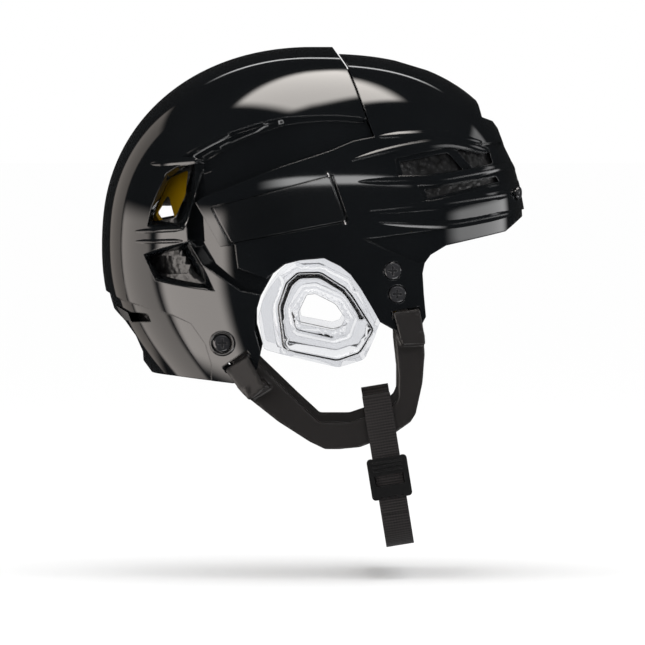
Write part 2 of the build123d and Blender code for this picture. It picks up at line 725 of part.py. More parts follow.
rack_shares = toothed(*rack_line_shares, rack_teeth)
lever_tooth_shares = toothed(*lever_line_shares, lever_teeth)
with BuildPart() as lock_lever:
    add(front_dome(-plate_rise))
    add(side_prism(lever_plate_shares, plate_softness_share, -half_width / 2), mode=Mode.INTERSECT)
    add(front_dome(plate_inset), mode=Mode.SUBTRACT)
    add(
        (front_dome(plate_inset - seat_gap) & side_prism(lever_tooth_shares, 0.0, -half_width / 2))
        - front_dome(lever_tooth_inset)
    )
    add(hinge_bar(0, hinge_length, knuckle_radius))
    pin_bore = hinge_bar(-overrun, hinge_length + overrun, lever_pin_radius + pin_gap)
    add(pin_bore, mode=Mode.SUBTRACT)
write_pair("lock_lever", lock_lever)
with BuildPart() as lever_pin:
    add(hinge_bar(-pin_seat, hinge_length + pin_seat, lever_pin_radius))
write_pair("lever_pin", lever_pin)
with BuildPart() as lock_rack:
    add(under_dome(rack_inset))
    add(side_prism(rack_shares, 0.0, -half_width / 2), mode=Mode.INTERSECT)
    add(under_dome(under_inset - seat_gap), mode=Mode.SUBTRACT)
write_pair("lock_rack", lock_rack)

# Screws with a cross recess, and the nuts behind them


def screw(plane, head_radius, grip):
    """Round-headed screw on a plane at its seat, reaching inwards by the grip."""
    with BuildPart() as piece:
        with BuildSketch(plane):
            Circle(head_radius)
        extrude(amount=screw_head_height)
        top = piece.faces().sort_by(Axis(plane.origin, plane.z_dir))[-1]
        fillet(top.edges(), head_round)
        with BuildSketch(plane.offset(screw_head_height)):
            Rectangle(cross_length, cross_width)
            Rectangle(cross_width, cross_length)
        extrude(amount=-cross_depth, mode=Mode.SUBTRACT)
        with BuildSketch(plane):
            Circle(screw_shank_radius)
        extrude(amount=-grip)
    return piece


def nut(plane, radius):
    """Flanged nut whose flange lies inside a plane."""
    with BuildPart() as piece:
        with BuildSketch(plane):
            Circle(radius)
        extrude(amount=-nut_height)
        with BuildSketch(plane.offset(-nut_height)):
            Circle(nut_boss_radius)
        extrude(amount=-nut_boss_height)
        with BuildSketch(plane):
            Circle(screw_bore)
        extrude(amount=-nut_height - nut_boss_height, mode=Mode.SUBTRACT)
    return piece


def facing_right(place, distance):
    """Plane that faces the wearer's right at a side-view place and a distance from the middle plane."""
    return Plane(origin=(place[0], -distance, place[1]), x_dir=(1, 0, 0), z_dir=(0, -1, 0))


upper_place, lower_place = at(temple_screw_shares[0]), at(temple_screw_shares[1])
nut_faces = {
    "upper_temple": low_face(upper_place, nut_radius, guard_depth + guard_wall) - seat_gap,
    "lower_temple": low_face(lower_place, nut_radius, brow_wall) - seat_gap,
    "rear": nut_seat - seat_gap,
}
screw_seats = {
    "upper_temple": (upper_place, low_face(upper_place, screw_head_radius, 0) + seat_gap),
    "lower_temple": (lower_place, low_face(lower_place, screw_head_radius, 0) + seat_gap),
    "rear": (rear_screw_place, rear_screw_floor + seat_gap),
}
for name, (place, seat) in screw_seats.items():
    grip = seat - nut_faces[name] + nut_height + nut_boss_height
    write_pair(f"{name}_screw", screw(facing_right(place, seat), screw_head_radius, grip))
    write_pair(f"{name}_nut", nut(facing_right(place, nut_faces[name]), nut_radius))
brow_nut_plane = brow_plane.offset(-brow_wall - brow_nut_sink)
write_pair("brow_screw", screw(brow_plane, brow_screw_radius, brow_grip))
write_pair("brow_nut", nut(brow_nut_plane, brow_nut_radius))

# Ribbed insert at the low rear vent
with BuildPart() as rear_vent_insert:
    add(even_dome(low_panel_inset - insert_rise))
    add(side_prism(vent_insert_shares, 0.0, 0), mode=Mode.INTERSECT)
    add(even_dome(low_panel_inset - seat_gap), mode=Mode.SUBTRACT)
    mirror(about=Plane.XZ)
write("rear_vent_insert", rear_vent_insert)

# Ear slings: flat loops inside the shells, through the slots and folded down outside into keepers
sling_shares = [
    (0.312, 0.024), (0.331, -0.018), (0.352, -0.045), (0.418, -0.111), (0.492, -0.171), (0.527, -0.192),
    (0.560, -0.192), (0.608, -0.186), (0.683, -0.150), (0.726, -0.111), (0.738, -0.087), (0.754, 0.006),
    (0.759, 0.090), (0.754, 0.186), (0.686, 0.222), (0.690, 0.114), (0.697, 0.033), (0.697, -0.033),
    (0.690, -0.054), (0.662, -0.078), (0.586, -0.111), (0.515, -0.111), (0.461, -0.048), (0.378, 0.054),
    (0.350, 0.090), (0.300, 0.048),
]
front_anchor = at((0.757, 0.162))
rear_anchor = at((0.290, 0.003))
front_wall_side = side_reach(*front_anchor, crown_step + shell_wall, shell_wall - wing_rise, 0)
front_anchor_side = front_wall_side - seat_gap
rear_anchor_side = side_reach(*rear_anchor, shell_wall, shell_wall, 0) - seat_gap
sling_run = Vector(front_anchor[0] - rear_anchor[0], rear_anchor_side - front_anchor_side, 0)
sling_plane = Plane(
    origin=(rear_anchor[0], -rear_anchor_side, 0),
    x_dir=sling_run,
    z_dir=Vector(sling_run.Y, -sling_run.X, 0),
)
sling_stretch = sling_run.length / sling_run.X


def sling_side(forward):
    """Distance of the band's outer face from the middle plane."""
    return -sling_plane.origin.Y - (forward - rear_anchor[0]) * sling_run.Y / sling_run.X


def flap_plane(forward_rear, forward_front, side_rear, side_front):
    """Upright plane outside the shell through two plan places, facing outwards."""
    run = Vector(forward_front - forward_rear, side_rear - side_front, 0)
    return Plane(origin=(forward_rear, -side_rear, 0), x_dir=run, z_dir=Vector(run.Y, -run.X, 0))


front_passage_shares = [(0.684, 0.1985), (0.7465, 0.2120), (0.7455, 0.2240), (0.683, 0.2105)]
front_flap_shares = [
    (0.684, 0.215), (0.7455, 0.226), (0.757, 0.147), (0.759, 0.120), (0.706, 0.117), (0.700, 0.138),
]
front_keeper_shares = [(0.698, 0.148), (0.757, 0.156), (0.759, 0.120), (0.706, 0.117)]
rear_passage_shares = [(0.300, 0.0360), (0.352, 0.0815), (0.347, 0.0900), (0.295, 0.0440)]
rear_flap_shares = [
    (0.297, 0.042), (0.349, 0.087), (0.381, 0.012), (0.392, -0.006), (0.352, -0.045), (0.331, -0.018),
]
rear_keeper_shares = [(0.340, -0.012), (0.384, 0.014), (0.400, -0.010), (0.356, -0.044)]
sling_ends = [
    (front_passage_shares, front_flap_shares, front_keeper_shares, crown_step, wing_rise),
    (rear_passage_shares, rear_flap_shares, rear_keeper_shares, 0, 0),
]
with BuildPart() as sling:
    with BuildSketch(sling_plane):
        with BuildLine():
            places = [at(share) for share in sling_shares]
            rounded_loop([((place[0] - rear_anchor[0]) * sling_stretch, place[1]) for place in places], 0)
        make_face()
    extrude(amount=-sling_wall)
    for passage, flap, keeper, length_inset, rise in sling_ends:
        places = [at(share) for share in flap]
        first, last = min(places), max(places)
        top = max(place[1] for place in places)
        side_first = side_reach(first[0], top, length_inset, -rise, 0) + flap_gap
        side_last = side_reach(last[0], top, length_inset, -rise, 0) + flap_gap
        outside = flap_plane(first[0], last[0], side_first, side_last)
        stretch = outside.x_dir.X
        with BuildSketch(outside):
            with BuildLine():
                flat = [((place[0] - first[0]) / stretch, place[1]) for place in places]
                Polyline(*flat, close=True)
            make_face()
        extrude(amount=flap_wall)
        for outline in (passage, keeper):
            middle = sum(at(share)[0] for share in outline) / len(outline)
            slope_share = (middle - first[0]) / (last[0] - first[0])
            outer = side_first + (side_last - side_first) * slope_share + flap_wall / 2
            with BuildSketch(Plane.XZ.offset(sling_side(middle) - sling_wall / 2)):
                with BuildLine():
                    Polyline(*[at(share) for share in outline], close=True)
                make_face()
            extrude(amount=outer - sling_side(middle) + sling_wall / 2)
write_pair("sling", sling)

# Chin strap: one webbing from sling to sling, doubled round each sling's lower bar
strap_lean = radians(strap_lean_angle)
strap_top = at(strap_top_share)
strap_plane = Plane(
    origin=(strap_top[0], 0, strap_top[1]), x_dir=(0, 1, 0), z_dir=(cos(strap_lean), 0, sin(strap_lean))
)
half_layer = webbing_wall / 2
outer_gap = layer_gap + webbing_wall
with BuildPart() as chin_strap:
    with BuildSketch(strap_plane):
        with BuildLine():
            Line(
                (-strap_side - half_layer, -fork_end),
                (-strap_side - half_layer, -strap_depth + webbing_corner),
            )
            ThreePointArc(
                (-strap_side - half_layer, -strap_depth + webbing_corner),
                (
                    -strap_side + webbing_corner - (webbing_corner + half_layer) * cos(pi / 4),
                    -strap_depth + webbing_corner - (webbing_corner + half_layer) * sin(pi / 4),
                ),
                (-strap_side + webbing_corner, -strap_depth - half_layer),
            )
            Line((-strap_side + webbing_corner, -strap_depth - half_layer), (0, -strap_depth - half_layer))
            Line((0, -strap_depth - half_layer), (0, -strap_depth + half_layer))
            Line((0, -strap_depth + half_layer), (-strap_side + webbing_corner, -strap_depth + half_layer))
            ThreePointArc(
                (-strap_side + webbing_corner, -strap_depth + half_layer),
                (
                    -strap_side + webbing_corner - (webbing_corner - half_layer) * cos(pi / 4),
                    -strap_depth + webbing_corner - (webbing_corner - half_layer) * sin(pi / 4),
                ),
                (-strap_side + half_layer, -strap_depth + webbing_corner),
            )
            Polyline(
                (-strap_side + half_layer, -strap_depth + webbing_corner),
                (-strap_side + half_layer, -fork_end),
                (-strap_side - half_layer, -fork_end),
            )
        make_face()
        with BuildLine():
            Polyline(
                (-strap_side - webbing_wall, -double_end),
                (-strap_side - webbing_wall, -fork_end),
                (-strap_side - outer_gap, -fork_start),
                (-strap_side - outer_gap, bridge_rise + webbing_wall),
                (-strap_side + outer_gap, bridge_rise + webbing_wall),
                (-strap_side + outer_gap, -fork_start),
                (-strap_side + webbing_wall, -fork_end),
                (-strap_side + webbing_wall, -double_end),
                close=True,
            )
        make_face()
        with BuildLine():
            Polyline(
                (-strap_side, -fork_end),
                (-strap_side - layer_gap, -fork_start),
                (-strap_side - layer_gap, bridge_rise),
                (-strap_side + layer_gap, bridge_rise),
                (-strap_side + layer_gap, -fork_start),
                close=True,
            )
        make_face(mode=Mode.SUBTRACT)
        mirror(about=Plane.YZ)
    extrude(amount=webbing_width / 2, both=True)
write("chin_strap", chin_strap)

# Slider on the right of the strap: rails, a ribbed upper bar, a toothed lower bar and a bar behind
slider_channel = webbing_width + 3 * slider_gap
slider_middle = slider_top + slider_height / 2
slider_plane = Plane(
    origin=(strap_top[0], -strap_side, strap_top[1]),
    x_dir=(cos(strap_lean), 0, sin(strap_lean)),
    z_dir=(0, -1, 0),
)
channel_half = webbing_wall + slider_gap
with BuildPart() as strap_slider:
    with BuildSketch(slider_plane.offset(-channel_half - slider_wall)):
        with Locations((0, -slider_middle)):
            RectangleRounded(slider_width, slider_height, slider_round)
    extrude(amount=2 * channel_half + slider_wall + slider_bar)
    with BuildSketch(slider_plane.offset(-channel_half)):
        with Locations((0, -slider_middle)):
            Rectangle(slider_channel, slider_height + overrun)
    extrude(amount=2 * channel_half, mode=Mode.SUBTRACT)
    with BuildSketch(slider_plane):
        with Locations((0, -front_window_top - front_window_height / 2)):
            Rectangle(slider_channel, front_window_height)
        with Locations((0, -slider_top - slider_height)):
            with GridLocations(notch_pitch, 0, 4, 1):
                Rectangle(notch_width, 2 * notch_height)
    extrude(amount=channel_half + slider_bar, mode=Mode.SUBTRACT)
    with BuildSketch(slider_plane):
        with Locations((0, -slider_top - (back_bar_top - slider_top) / 2 + overrun / 2)):
            Rectangle(slider_channel, back_bar_top - slider_top + overrun)
        back_bar_end = back_bar_top + back_bar_height
        with Locations((0, -(back_bar_end + slider_top + slider_height + overrun) / 2)):
            Rectangle(slider_channel, slider_top + slider_height - back_bar_end + overrun)
    extrude(amount=-channel_half - slider_wall, mode=Mode.SUBTRACT)
    with BuildSketch(slider_plane.offset(channel_half + slider_bar)):
        with Locations((0, -(slider_top + front_window_top) / 2)):
            with GridLocations(0, rib_pitch, 1, 3):
                Rectangle(slider_channel, rib_width)
    extrude(amount=rib_height)
write("strap_slider", strap_slider)

# Snap fastener on the left of the strap
snap_plane = Plane(
    origin=(strap_top[0], strap_side, strap_top[1]),
    x_dir=(-cos(strap_lean), 0, -sin(strap_lean)),
    z_dir=(0, 1, 0),
)
with BuildPart() as snap_cap:
    with BuildSketch(snap_plane.offset(webbing_wall + seat_gap)):
        with Locations((0, -snap_depth)):
            Circle(snap_radius)
    extrude(amount=snap_height)
    fillet(snap_cap.faces().sort_by(Axis.Y)[-1].edges(), snap_height / 2)
write("snap_cap", snap_cap)
with BuildPart() as snap_socket:
    with BuildSketch(snap_plane.offset(-webbing_wall - seat_gap)):
        with Locations((0, -snap_depth)):
            Circle(snap_radius)
            Circle(snap_radius / 3, mode=Mode.SUBTRACT)
    extrude(amount=-snap_height)
write("snap_socket", snap_socket)
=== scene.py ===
"""Dresses the packed ice hockey helmet for its picture.

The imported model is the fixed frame. The shells, levers, liners, guards and slings get clean merged meshes,
and raised ridges stand on the shells. The padding is puffed by a cloth simulation, the webbing is built new,
and every carried-over node gets a finish. Everything is in metres: +X is forward, +Y is to the wearer's left
and +Z is up.
"""

import logging
import math
from dataclasses import dataclass, field
from enum import Enum

import bmesh
import bpy
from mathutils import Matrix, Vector


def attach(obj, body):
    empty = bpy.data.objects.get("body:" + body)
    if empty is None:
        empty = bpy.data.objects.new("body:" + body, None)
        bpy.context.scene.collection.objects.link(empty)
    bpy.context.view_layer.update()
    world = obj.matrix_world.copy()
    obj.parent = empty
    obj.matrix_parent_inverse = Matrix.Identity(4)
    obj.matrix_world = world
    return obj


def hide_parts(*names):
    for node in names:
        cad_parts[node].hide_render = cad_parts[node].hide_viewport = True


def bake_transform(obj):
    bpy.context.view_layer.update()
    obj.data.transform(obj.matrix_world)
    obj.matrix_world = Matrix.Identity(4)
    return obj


Pair = tuple[float, float]
Triple = tuple[float, float, float]
Tree = bpy.types.NodeTree
Socket = bpy.types.NodeSocket
Material = bpy.types.Material
Piece = bpy.types.Object
Shape = bmesh.types.BMesh

log = logging.getLogger("helmet")
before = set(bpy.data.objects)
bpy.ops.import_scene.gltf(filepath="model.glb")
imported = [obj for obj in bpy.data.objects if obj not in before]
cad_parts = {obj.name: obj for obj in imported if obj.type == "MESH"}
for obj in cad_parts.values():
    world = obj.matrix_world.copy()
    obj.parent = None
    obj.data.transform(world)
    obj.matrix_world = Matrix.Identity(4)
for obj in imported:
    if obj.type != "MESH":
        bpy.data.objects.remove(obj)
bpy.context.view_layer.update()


class Side(Enum):
    """The two sides of the wearer, with the sign of Y on each."""

    RIGHT = -1
    LEFT = 1

    @property
    def word(self) -> str:
        """The side's name in the node names."""
        return self.name.lower()


class Form(Enum):
    """The two moulded forms that the shells' faces follow.

    Each value is how far the form is drawn in at its ends and crown, and at its sides.
    """

    REAR = (0.0, 0.0)
    FRONT = (0.0044, -0.0006)


# Shader groups that several finishes share


def add_node(
    tree: Tree, kind: str, inputs: dict | None = None, **settings: object
) -> bpy.types.Node:
    """Add a node to a tree.

    Args:
        tree: The tree.
        kind: The node's type, without its prefix.
        inputs: Values of its inputs.
        settings: Its properties.

    Returns:
        The node.
    """
    made = tree.nodes.new(f"ShaderNode{kind}")
    for key, value in settings.items():
        setattr(made, key, value)
    for key, value in (inputs or {}).items():
        made.inputs[key].default_value = value
    return made


class ShaderGroup:
    """A node group with named inputs and one or more outputs."""

    def __init__(self, name: str) -> None:
        """Make an empty group.

        Args:
            name: The group's name.
        """
        self.tree = bpy.data.node_groups.new(name, "ShaderNodeTree")
        self.into = self.tree.nodes.new("NodeGroupInput")
        self.out = self.tree.nodes.new("NodeGroupOutput")

    def socket(self, name: str, way: str, kind: str, value: float | None = None) -> None:
        """Add a socket to the group's face.

        Args:
            name: The socket's name.
            way: INPUT or OUTPUT.
            kind: The socket's type, without its prefix.
            value: The default of an input number.
        """
        made = self.tree.interface.new_socket(name=name, in_out=way, socket_type=f"NodeSocket{kind}")
        if value is not None:
            made.default_value = value

    def node(self, kind: str, inputs: dict | None = None, **settings: object) -> bpy.types.Node:
        """Add a node to the group, as add_node does."""
        return add_node(self.tree, kind, inputs, **settings)

    def feed(self, name: str, *ends: Socket) -> None:
        """Join an input of the group to inputs of its nodes.

        Args:
            name: The group's input.
            ends: The inputs that read it.
        """
        for end in ends:
            self.link(self.into.outputs[name], end)

    def give(self, start: Socket, *names: str) -> None:
        """Put a node's output out of the group.

        Args:
            start: The node's output.
            names: The group's outputs that give it.
        """
        for name in names:
            self.link(start, self.out.inputs[name])

    def link(self, start: Socket, end: Socket) -> None:
        """Join two sockets.

        Args:
            start: The output that is read.
            end: The input that reads it.
        """
        self.tree.links.new(start, end)


def make_grain_group() -> Tree:
    """Build the moulded grain that plastics, rubber and metal share.

    Returns:
        A group that turns a place into a bumped normal, and a shade. The shade wanders a little at random
        and is painted higher on edges: a painted edge highlight where the high colour is lighter, a painted
        dark rim where it is darker.
    """
    group = ShaderGroup("moulded_grain")
    group.socket("Place", "INPUT", "Vector")
    group.socket("Grain per metre", "INPUT", "Float", 900.0)
    group.socket("Depth", "INPUT", "Float", 0.1)
    group.socket("Edge radius", "INPUT", "Float", 0.0005)
    group.socket("Normal", "OUTPUT", "Vector")
    group.socket("Shade", "OUTPUT", "Float")
    noise = group.node("TexNoise", {"Detail": 4.0, "Roughness": 0.6})
    cloud = group.node("TexNoise", {"Scale": 22.0, "Detail": 3.0})
    edge = group.node("Bevel", samples=4)
    bump = group.node("Bump", {"Distance": 0.0002})
    true_face = group.node("NewGeometry")
    turn = group.node("VectorMath", operation="DOT_PRODUCT")
    # Painted edge light: where the bevelled normal turns away from the true face, the shade rises and paints
    # a highlight (or dark rim) along edges.
    painted_edge_mask = group.node("MapRange", {"From Min": 0.995, "From Max": 0.90, "To Max": 0.6})
    wander = group.node("Math", {1: 0.4}, operation="MULTIPLY")
    # The shade is random tone from the cloud plus the painted edge mask.
    both = group.node("Math", operation="ADD")
    group.feed("Place", noise.inputs["Vector"], cloud.inputs["Vector"])
    group.feed("Grain per metre", noise.inputs["Scale"])
    group.feed("Depth", bump.inputs["Strength"])
    group.feed("Edge radius", edge.inputs["Radius"])
    group.link(noise.outputs["Fac"], bump.inputs["Height"])
    group.link(edge.outputs["Normal"], bump.inputs["Normal"])
    group.link(edge.outputs["Normal"], turn.inputs[0])
    group.link(true_face.outputs["Normal"], turn.inputs[1])
    group.link(turn.outputs["Value"], painted_edge_mask.inputs["Value"])
    group.link(cloud.outputs["Fac"], wander.inputs[0])
    group.link(wander.outputs["Value"], both.inputs[0])
    group.link(painted_edge_mask.outputs["Result"], both.inputs[1])
    group.give(bump.outputs["Normal"], "Normal")
    group.give(both.outputs["Value"], "Shade")
    return group.tree


def make_foam_group() -> Tree:
    """Build the beads of expanded foam.

    Returns:
        A group that turns a place into the height of its beads and a painted shade that is dark in the gaps
        between them.
    """
    group = ShaderGroup("foam_beads")
    group.socket("Place", "INPUT", "Vector")
    group.socket("Beads per metre", "INPUT", "Float", 330.0)
    group.socket("Height", "OUTPUT", "Float")
    group.socket("Mask", "OUTPUT", "Float")
    cells = group.node("TexVoronoi", feature="SMOOTH_F1")
    ramp = group.node("MapRange", {"From Max": 0.8, "To Min": 1.0, "To Max": 0.0})
    group.feed("Place", cells.inputs["Vector"])
    group.feed("Beads per metre", cells.inputs["Scale"])
    group.link(cells.outputs["Distance"], ramp.inputs["Value"])
    group.give(ramp.outputs["Result"], "Height", "Mask")
    return group.tree


def make_weave_group() -> Tree:
    """Build crossing threads.

    Returns:
        A group that turns a place into the height of a plain weave and a shade for its threads.
    """
    group = ShaderGroup("plain_weave")
    group.socket("Place", "INPUT", "Vector")
    group.socket("Threads per metre", "INPUT", "Float", 1500.0)
    group.socket("Cross share", "INPUT", "Float", 0.5)
    group.socket("Height", "OUTPUT", "Float")
    group.socket("Shade", "OUTPUT", "Float")
    along = group.node("TexWave", {"Distortion": 0.3}, bands_direction="X")
    across = group.node("TexWave", {"Distortion": 0.3}, bands_direction="Y")
    mix = group.node("Mix", data_type="FLOAT")
    bands = group.node("Math", {1: math.pi / 10}, operation="MULTIPLY")
    group.feed("Place", along.inputs["Vector"], across.inputs["Vector"])
    group.feed("Threads per metre", bands.inputs[0])
    group.feed("Cross share", mix.inputs["Factor"])
    for wave in (along, across):
        group.link(bands.outputs["Value"], wave.inputs["Scale"])
    group.link(along.outputs["Fac"], mix.inputs["A"])
    group.link(across.outputs["Fac"], mix.inputs["B"])
    group.give(mix.outputs["Result"], "Height", "Shade")
    return group.tree


@dataclass
class Bench:
    """The shader groups, built once."""

    grain: Tree = field(default_factory=make_grain_group)
    foam: Tree = field(default_factory=make_foam_group)
    weave: Tree = field(default_factory=make_weave_group)


# Finishes


class Coat:
    """A material in the making: its Principled shader and the coordinates it reads."""

    def __init__(self, name: str, place: str = "Object") -> None:
        """Make a material with a Principled shader.

        Args:
            name: The material's name.
            place: The output of the Texture Coordinate node that patterns follow.
        """
        self.material = bpy.data.materials.new(name)
        self.material.use_nodes = True
        self.nodes = self.material.node_tree.nodes
        self.shader = self.nodes["Principled BSDF"]
        self.place = self.nodes.new("ShaderNodeTexCoord").outputs[place]

    def link(self, start: Socket, end: Socket) -> None:
        """Join two sockets.

        Args:
            start: The output that is read.
            end: The input that reads it.
        """
        self.material.node_tree.links.new(start, end)

    def use(self, tree: Tree, **values: float) -> bpy.types.Node:
        """Place a shader group and give it this material's values.

        Args:
            tree: The group.
            values: Input values, named with underscores for spaces.

        Returns:
            The group's node.
        """
        node = self.nodes.new("ShaderNodeGroup")
        node.node_tree = tree
        for key, value in values.items():
            node.inputs[key.replace("_", " ")].default_value = value
        self.link(self.place, node.inputs["Place"])
        return node

    def set(self, **values: object) -> None:
        """Set inputs of the Principled shader.

        Args:
            values: Input values, named with underscores for spaces.
        """
        for key, value in values.items():
            self.shader.inputs[key.replace("_", " ")].default_value = value

    def tint(self, mask: Socket, low: tuple[float, ...], high: tuple[float, ...]) -> None:
        """Colour the surface between two colours by a mask.

        Args:
            mask: The socket that drives the colour.
            low: Colour where the mask is 0.
            high: Colour where the mask is 1.
        """
        ramp = self.nodes.new("ShaderNodeValToRGB")
        ramp.color_ramp.elements[0].color = (*low, 1.0)
        ramp.color_ramp.elements[1].color = (*high, 1.0)
        self.link(mask, ramp.inputs["Fac"])
        self.link(ramp.outputs["Color"], self.shader.inputs["Base Color"])

    def bump(self, height: Socket, distance: float, strength: float) -> None:
        """Raise the surface by a height.

        Args:
            height: The socket with the height.
            distance: Depth in metres.
            strength: Share of that depth.
        """
        node = add_node(self.material.node_tree, "Bump", {"Distance": distance, "Strength": strength})
        self.link(height, node.inputs["Height"])
        self.link(node.outputs["Normal"], self.shader.inputs["Normal"])


@dataclass(frozen=True)
class MouldedFinish:
    """Moulded plastic, rubber or metal with fine grain. Its high colour is painted on its edges as a painted
    highlight.
    """

    name: str
    low: Triple
    # high is the colour of the lighter random patches and of the painted edge highlight.
    high: Triple
    roughness: float
    specular: float = 0.5
    metallic: float = 0.0
    grain: float = 900.0
    depth: float = 0.05
    edge: float = 0.0005

    def make(self, bench: Bench) -> Material:
        """Build the material.

        Args:
            bench: The shader groups.

        Returns:
            The material.
        """
        coat = Coat(self.name)
        grain = coat.use(bench.grain, Grain_per_metre=self.grain, Depth=self.depth, Edge_radius=self.edge)
        # The high colour reaches the edges: painted highlight.
        coat.tint(grain.outputs["Shade"], self.low, self.high)
        coat.link(grain.outputs["Normal"], coat.shader.inputs["Normal"])
        coat.set(Roughness=self.roughness, Specular_IOR_Level=self.specular, Metallic=self.metallic)
        return coat.material


@dataclass(frozen=True)
class FoamFinish:
    """Expanded foam with its beads, painted darker in the gaps between them."""

    name: str = "black_foam"
    # low is the painted shade in the gaps between beads, and high is the bead tops.
    low: Triple = (0.002, 0.002, 0.002)
    high: Triple = (0.014, 0.014, 0.015)
    beads: float = 330.0
    relief: float = 0.0006
    strength: float = 0.8
    roughness: float = 0.35

    def make(self, bench: Bench) -> Material:
        """Build the material.

        Args:
            bench: The shader groups.

        Returns:
            The material.
        """
        coat = Coat(self.name)
        foam = coat.use(bench.foam, Beads_per_metre=self.beads)
        coat.tint(foam.outputs["Mask"], self.low, self.high)
        coat.bump(foam.outputs["Height"], self.relief, self.strength)
        coat.set(Roughness=self.roughness)
        return coat.material


@dataclass(frozen=True)
class WovenFinish:
    """Woven cloth or webbing."""

    name: str
    low: Triple
    high: Triple
    threads: float
    cross: float
    place: str = "Object"
    sheen: float = 0.3
    relief: float = 0.0002
    strength: float = 0.7
    roughness: float = 0.8

    def make(self, bench: Bench) -> Material:
        """Build the material.

        Args:
            bench: The shader groups.

        Returns:
            The material.
        """
        coat = Coat(self.name, self.place)
        weave = coat.use(bench.weave, Threads_per_metre=self.threads, Cross_share=self.cross)
        coat.tint(weave.outputs["Shade"], self.low, self.high)
        coat.bump(weave.outputs["Height"], self.relief, self.strength)
        coat.set(Roughness=self.roughness, Sheen_Weight=self.sheen)
        return coat.material


@dataclass(frozen=True)
class ClearFinish:
    """Clear moulded plastic, a little frosted along its flow, with a painted dark rim on its edges."""

    name: str = "clear_guard_plastic"
    face: Triple = (0.92, 0.925, 0.94)
    # The edge colour is a painted dark rim. It stands in for the dark lines that refraction and reflection
    # show at the guard's edges.
    edge: Triple = (0.50, 0.51, 0.54)
    grain: float = 120.0
    depth: float = 0.06
    rim: float = 0.0006
    roughness: float = 0.03
    refraction: float = 1.3

    def make(self, bench: Bench) -> Material:
        """Build the material.

        Args:
            bench: The shader groups.

        Returns:
            The material.
        """
        coat = Coat(self.name)
        grain = coat.use(bench.grain, Grain_per_metre=self.grain, Depth=self.depth, Edge_radius=self.rim)
        # Edges take the darker edge colour: painted shade.
        coat.tint(grain.outputs["Shade"], self.face, self.edge)
        coat.link(grain.outputs["Normal"], coat.shader.inputs["Normal"])
        coat.set(Roughness=self.roughness, IOR=self.refraction, Transmission_Weight=1.0)
        return coat.material


# Each moulded finish paints its high colour on edges as a painted edge highlight. On the shells, levers and
# screws it stands in for bright edge glints.
GLOSS_SHELL = MouldedFinish(
    "gloss_black_shell", (0.0030, 0.0036, 0.0043), (0.012, 0.013, 0.014), 0.05, 0.5, depth=0.01, edge=0.0012
)
GLOSS_LEVER = MouldedFinish(
    "gloss_black_lever", (0.003, 0.0035, 0.004), (0.014, 0.015, 0.016), 0.08, 0.5, depth=0.02, edge=0.0009
)
SLING_RUBBER = MouldedFinish(
    "sling_moulding", (0.012, 0.0095, 0.009), (0.030, 0.029, 0.028), 0.42, 0.35,
    grain=2200.0, depth=0.3, edge=0.0009,
)
SLIDER_PLASTIC = MouldedFinish(
    "slider_moulding", (0.004, 0.004, 0.0042), (0.022, 0.022, 0.023), 0.40, 0.3, depth=0.15, edge=0.0003
)
# The screw's pale high colour is mostly a painted highlight on its edges and rings.
SCREW_BLACK = MouldedFinish(
    "black_screw", (0.004, 0.004, 0.005), (0.09, 0.09, 0.095), 0.14, 0.6, depth=0.04, edge=0.0004
)
NUT_STEEL = MouldedFinish("zinc_steel", (0.42, 0.42, 0.43), (0.55, 0.55, 0.56), 0.32, 0.5, 1.0, depth=0.1)
GREY_INSERT = MouldedFinish("insert_moulding", (0.04, 0.04, 0.042), (0.08, 0.08, 0.083), 0.4, 0.4, depth=0.2)
SLIP_YELLOW = MouldedFinish(
    "yellow_slip_layer", (0.36, 0.20, 0.0), (0.46, 0.27, 0.002), 0.38, 0.4, grain=500.0, depth=0.08
)
ELASTOMER = MouldedFinish("anchor_elastomer", (0.05, 0.05, 0.05), (0.07, 0.07, 0.07), 0.6, 0.3, depth=0.2)
PAD_CLOTH = WovenFinish("pad_cloth", (0.012, 0.012, 0.013), (0.035, 0.035, 0.038), 1500.0, 0.5)
WEBBING = WovenFinish("strap_webbing", (0.002, 0.0016, 0.0016), (0.022, 0.017, 0.017), 560.0, 0.8, "UV", 0.1)


# Meshes

MERGE_DISTANCE = 2e-6
SHARP_ANGLE = math.radians(28)
INWARDS = -1.0
BOTH_WAYS = 0.0


def link_piece(name: str, shape: Shape) -> Piece:
    """Put a shape into the scene as a piece that sits at the origin.

    Args:
        name: The piece's name.
        shape: Its shape, in place, which is freed.

    Returns:
        The object.
    """
    mesh = bpy.data.meshes.new(name)
    shape.to_mesh(mesh)
    shape.free()
    piece = bpy.data.objects.new(name, mesh)
    bpy.context.scene.collection.objects.link(piece)
    log.info("%s", name)
    return piece


def bake(piece: Piece) -> None:
    """Apply every modifier of a piece to its mesh.

    Args:
        piece: The piece.
    """
    graph = bpy.context.evaluated_depsgraph_get()
    mesh = bpy.data.meshes.new_from_object(piece.evaluated_get(graph))
    piece.modifiers.clear()
    piece.data = mesh


def even_out(piece: Piece, voxel: float, softness: float, rounds: int) -> None:
    """Give a piece an even mesh with eased edges.

    Args:
        piece: The piece.
        voxel: Size of the mesh's cells.
        softness: How far each round of smoothing goes.
        rounds: How many rounds there are.
    """
    even = piece.modifiers.new("even", "REMESH")
    even.mode = "VOXEL"
    even.voxel_size = voxel
    soft = piece.modifiers.new("soft", "SMOOTH")
    soft.factor = softness
    soft.iterations = rounds
    bake(piece)


def add_wall(piece: Piece, thickness: float, way: float) -> None:
    """Give a sheet its wall and smooth shading.

    Args:
        piece: The sheet.
        thickness: The wall's thickness.
        way: INWARDS or BOTH_WAYS from the sheet.
    """
    wall = piece.modifiers.new("wall", "SOLIDIFY")
    wall.thickness = thickness
    wall.offset = way
    piece.data.shade_smooth()


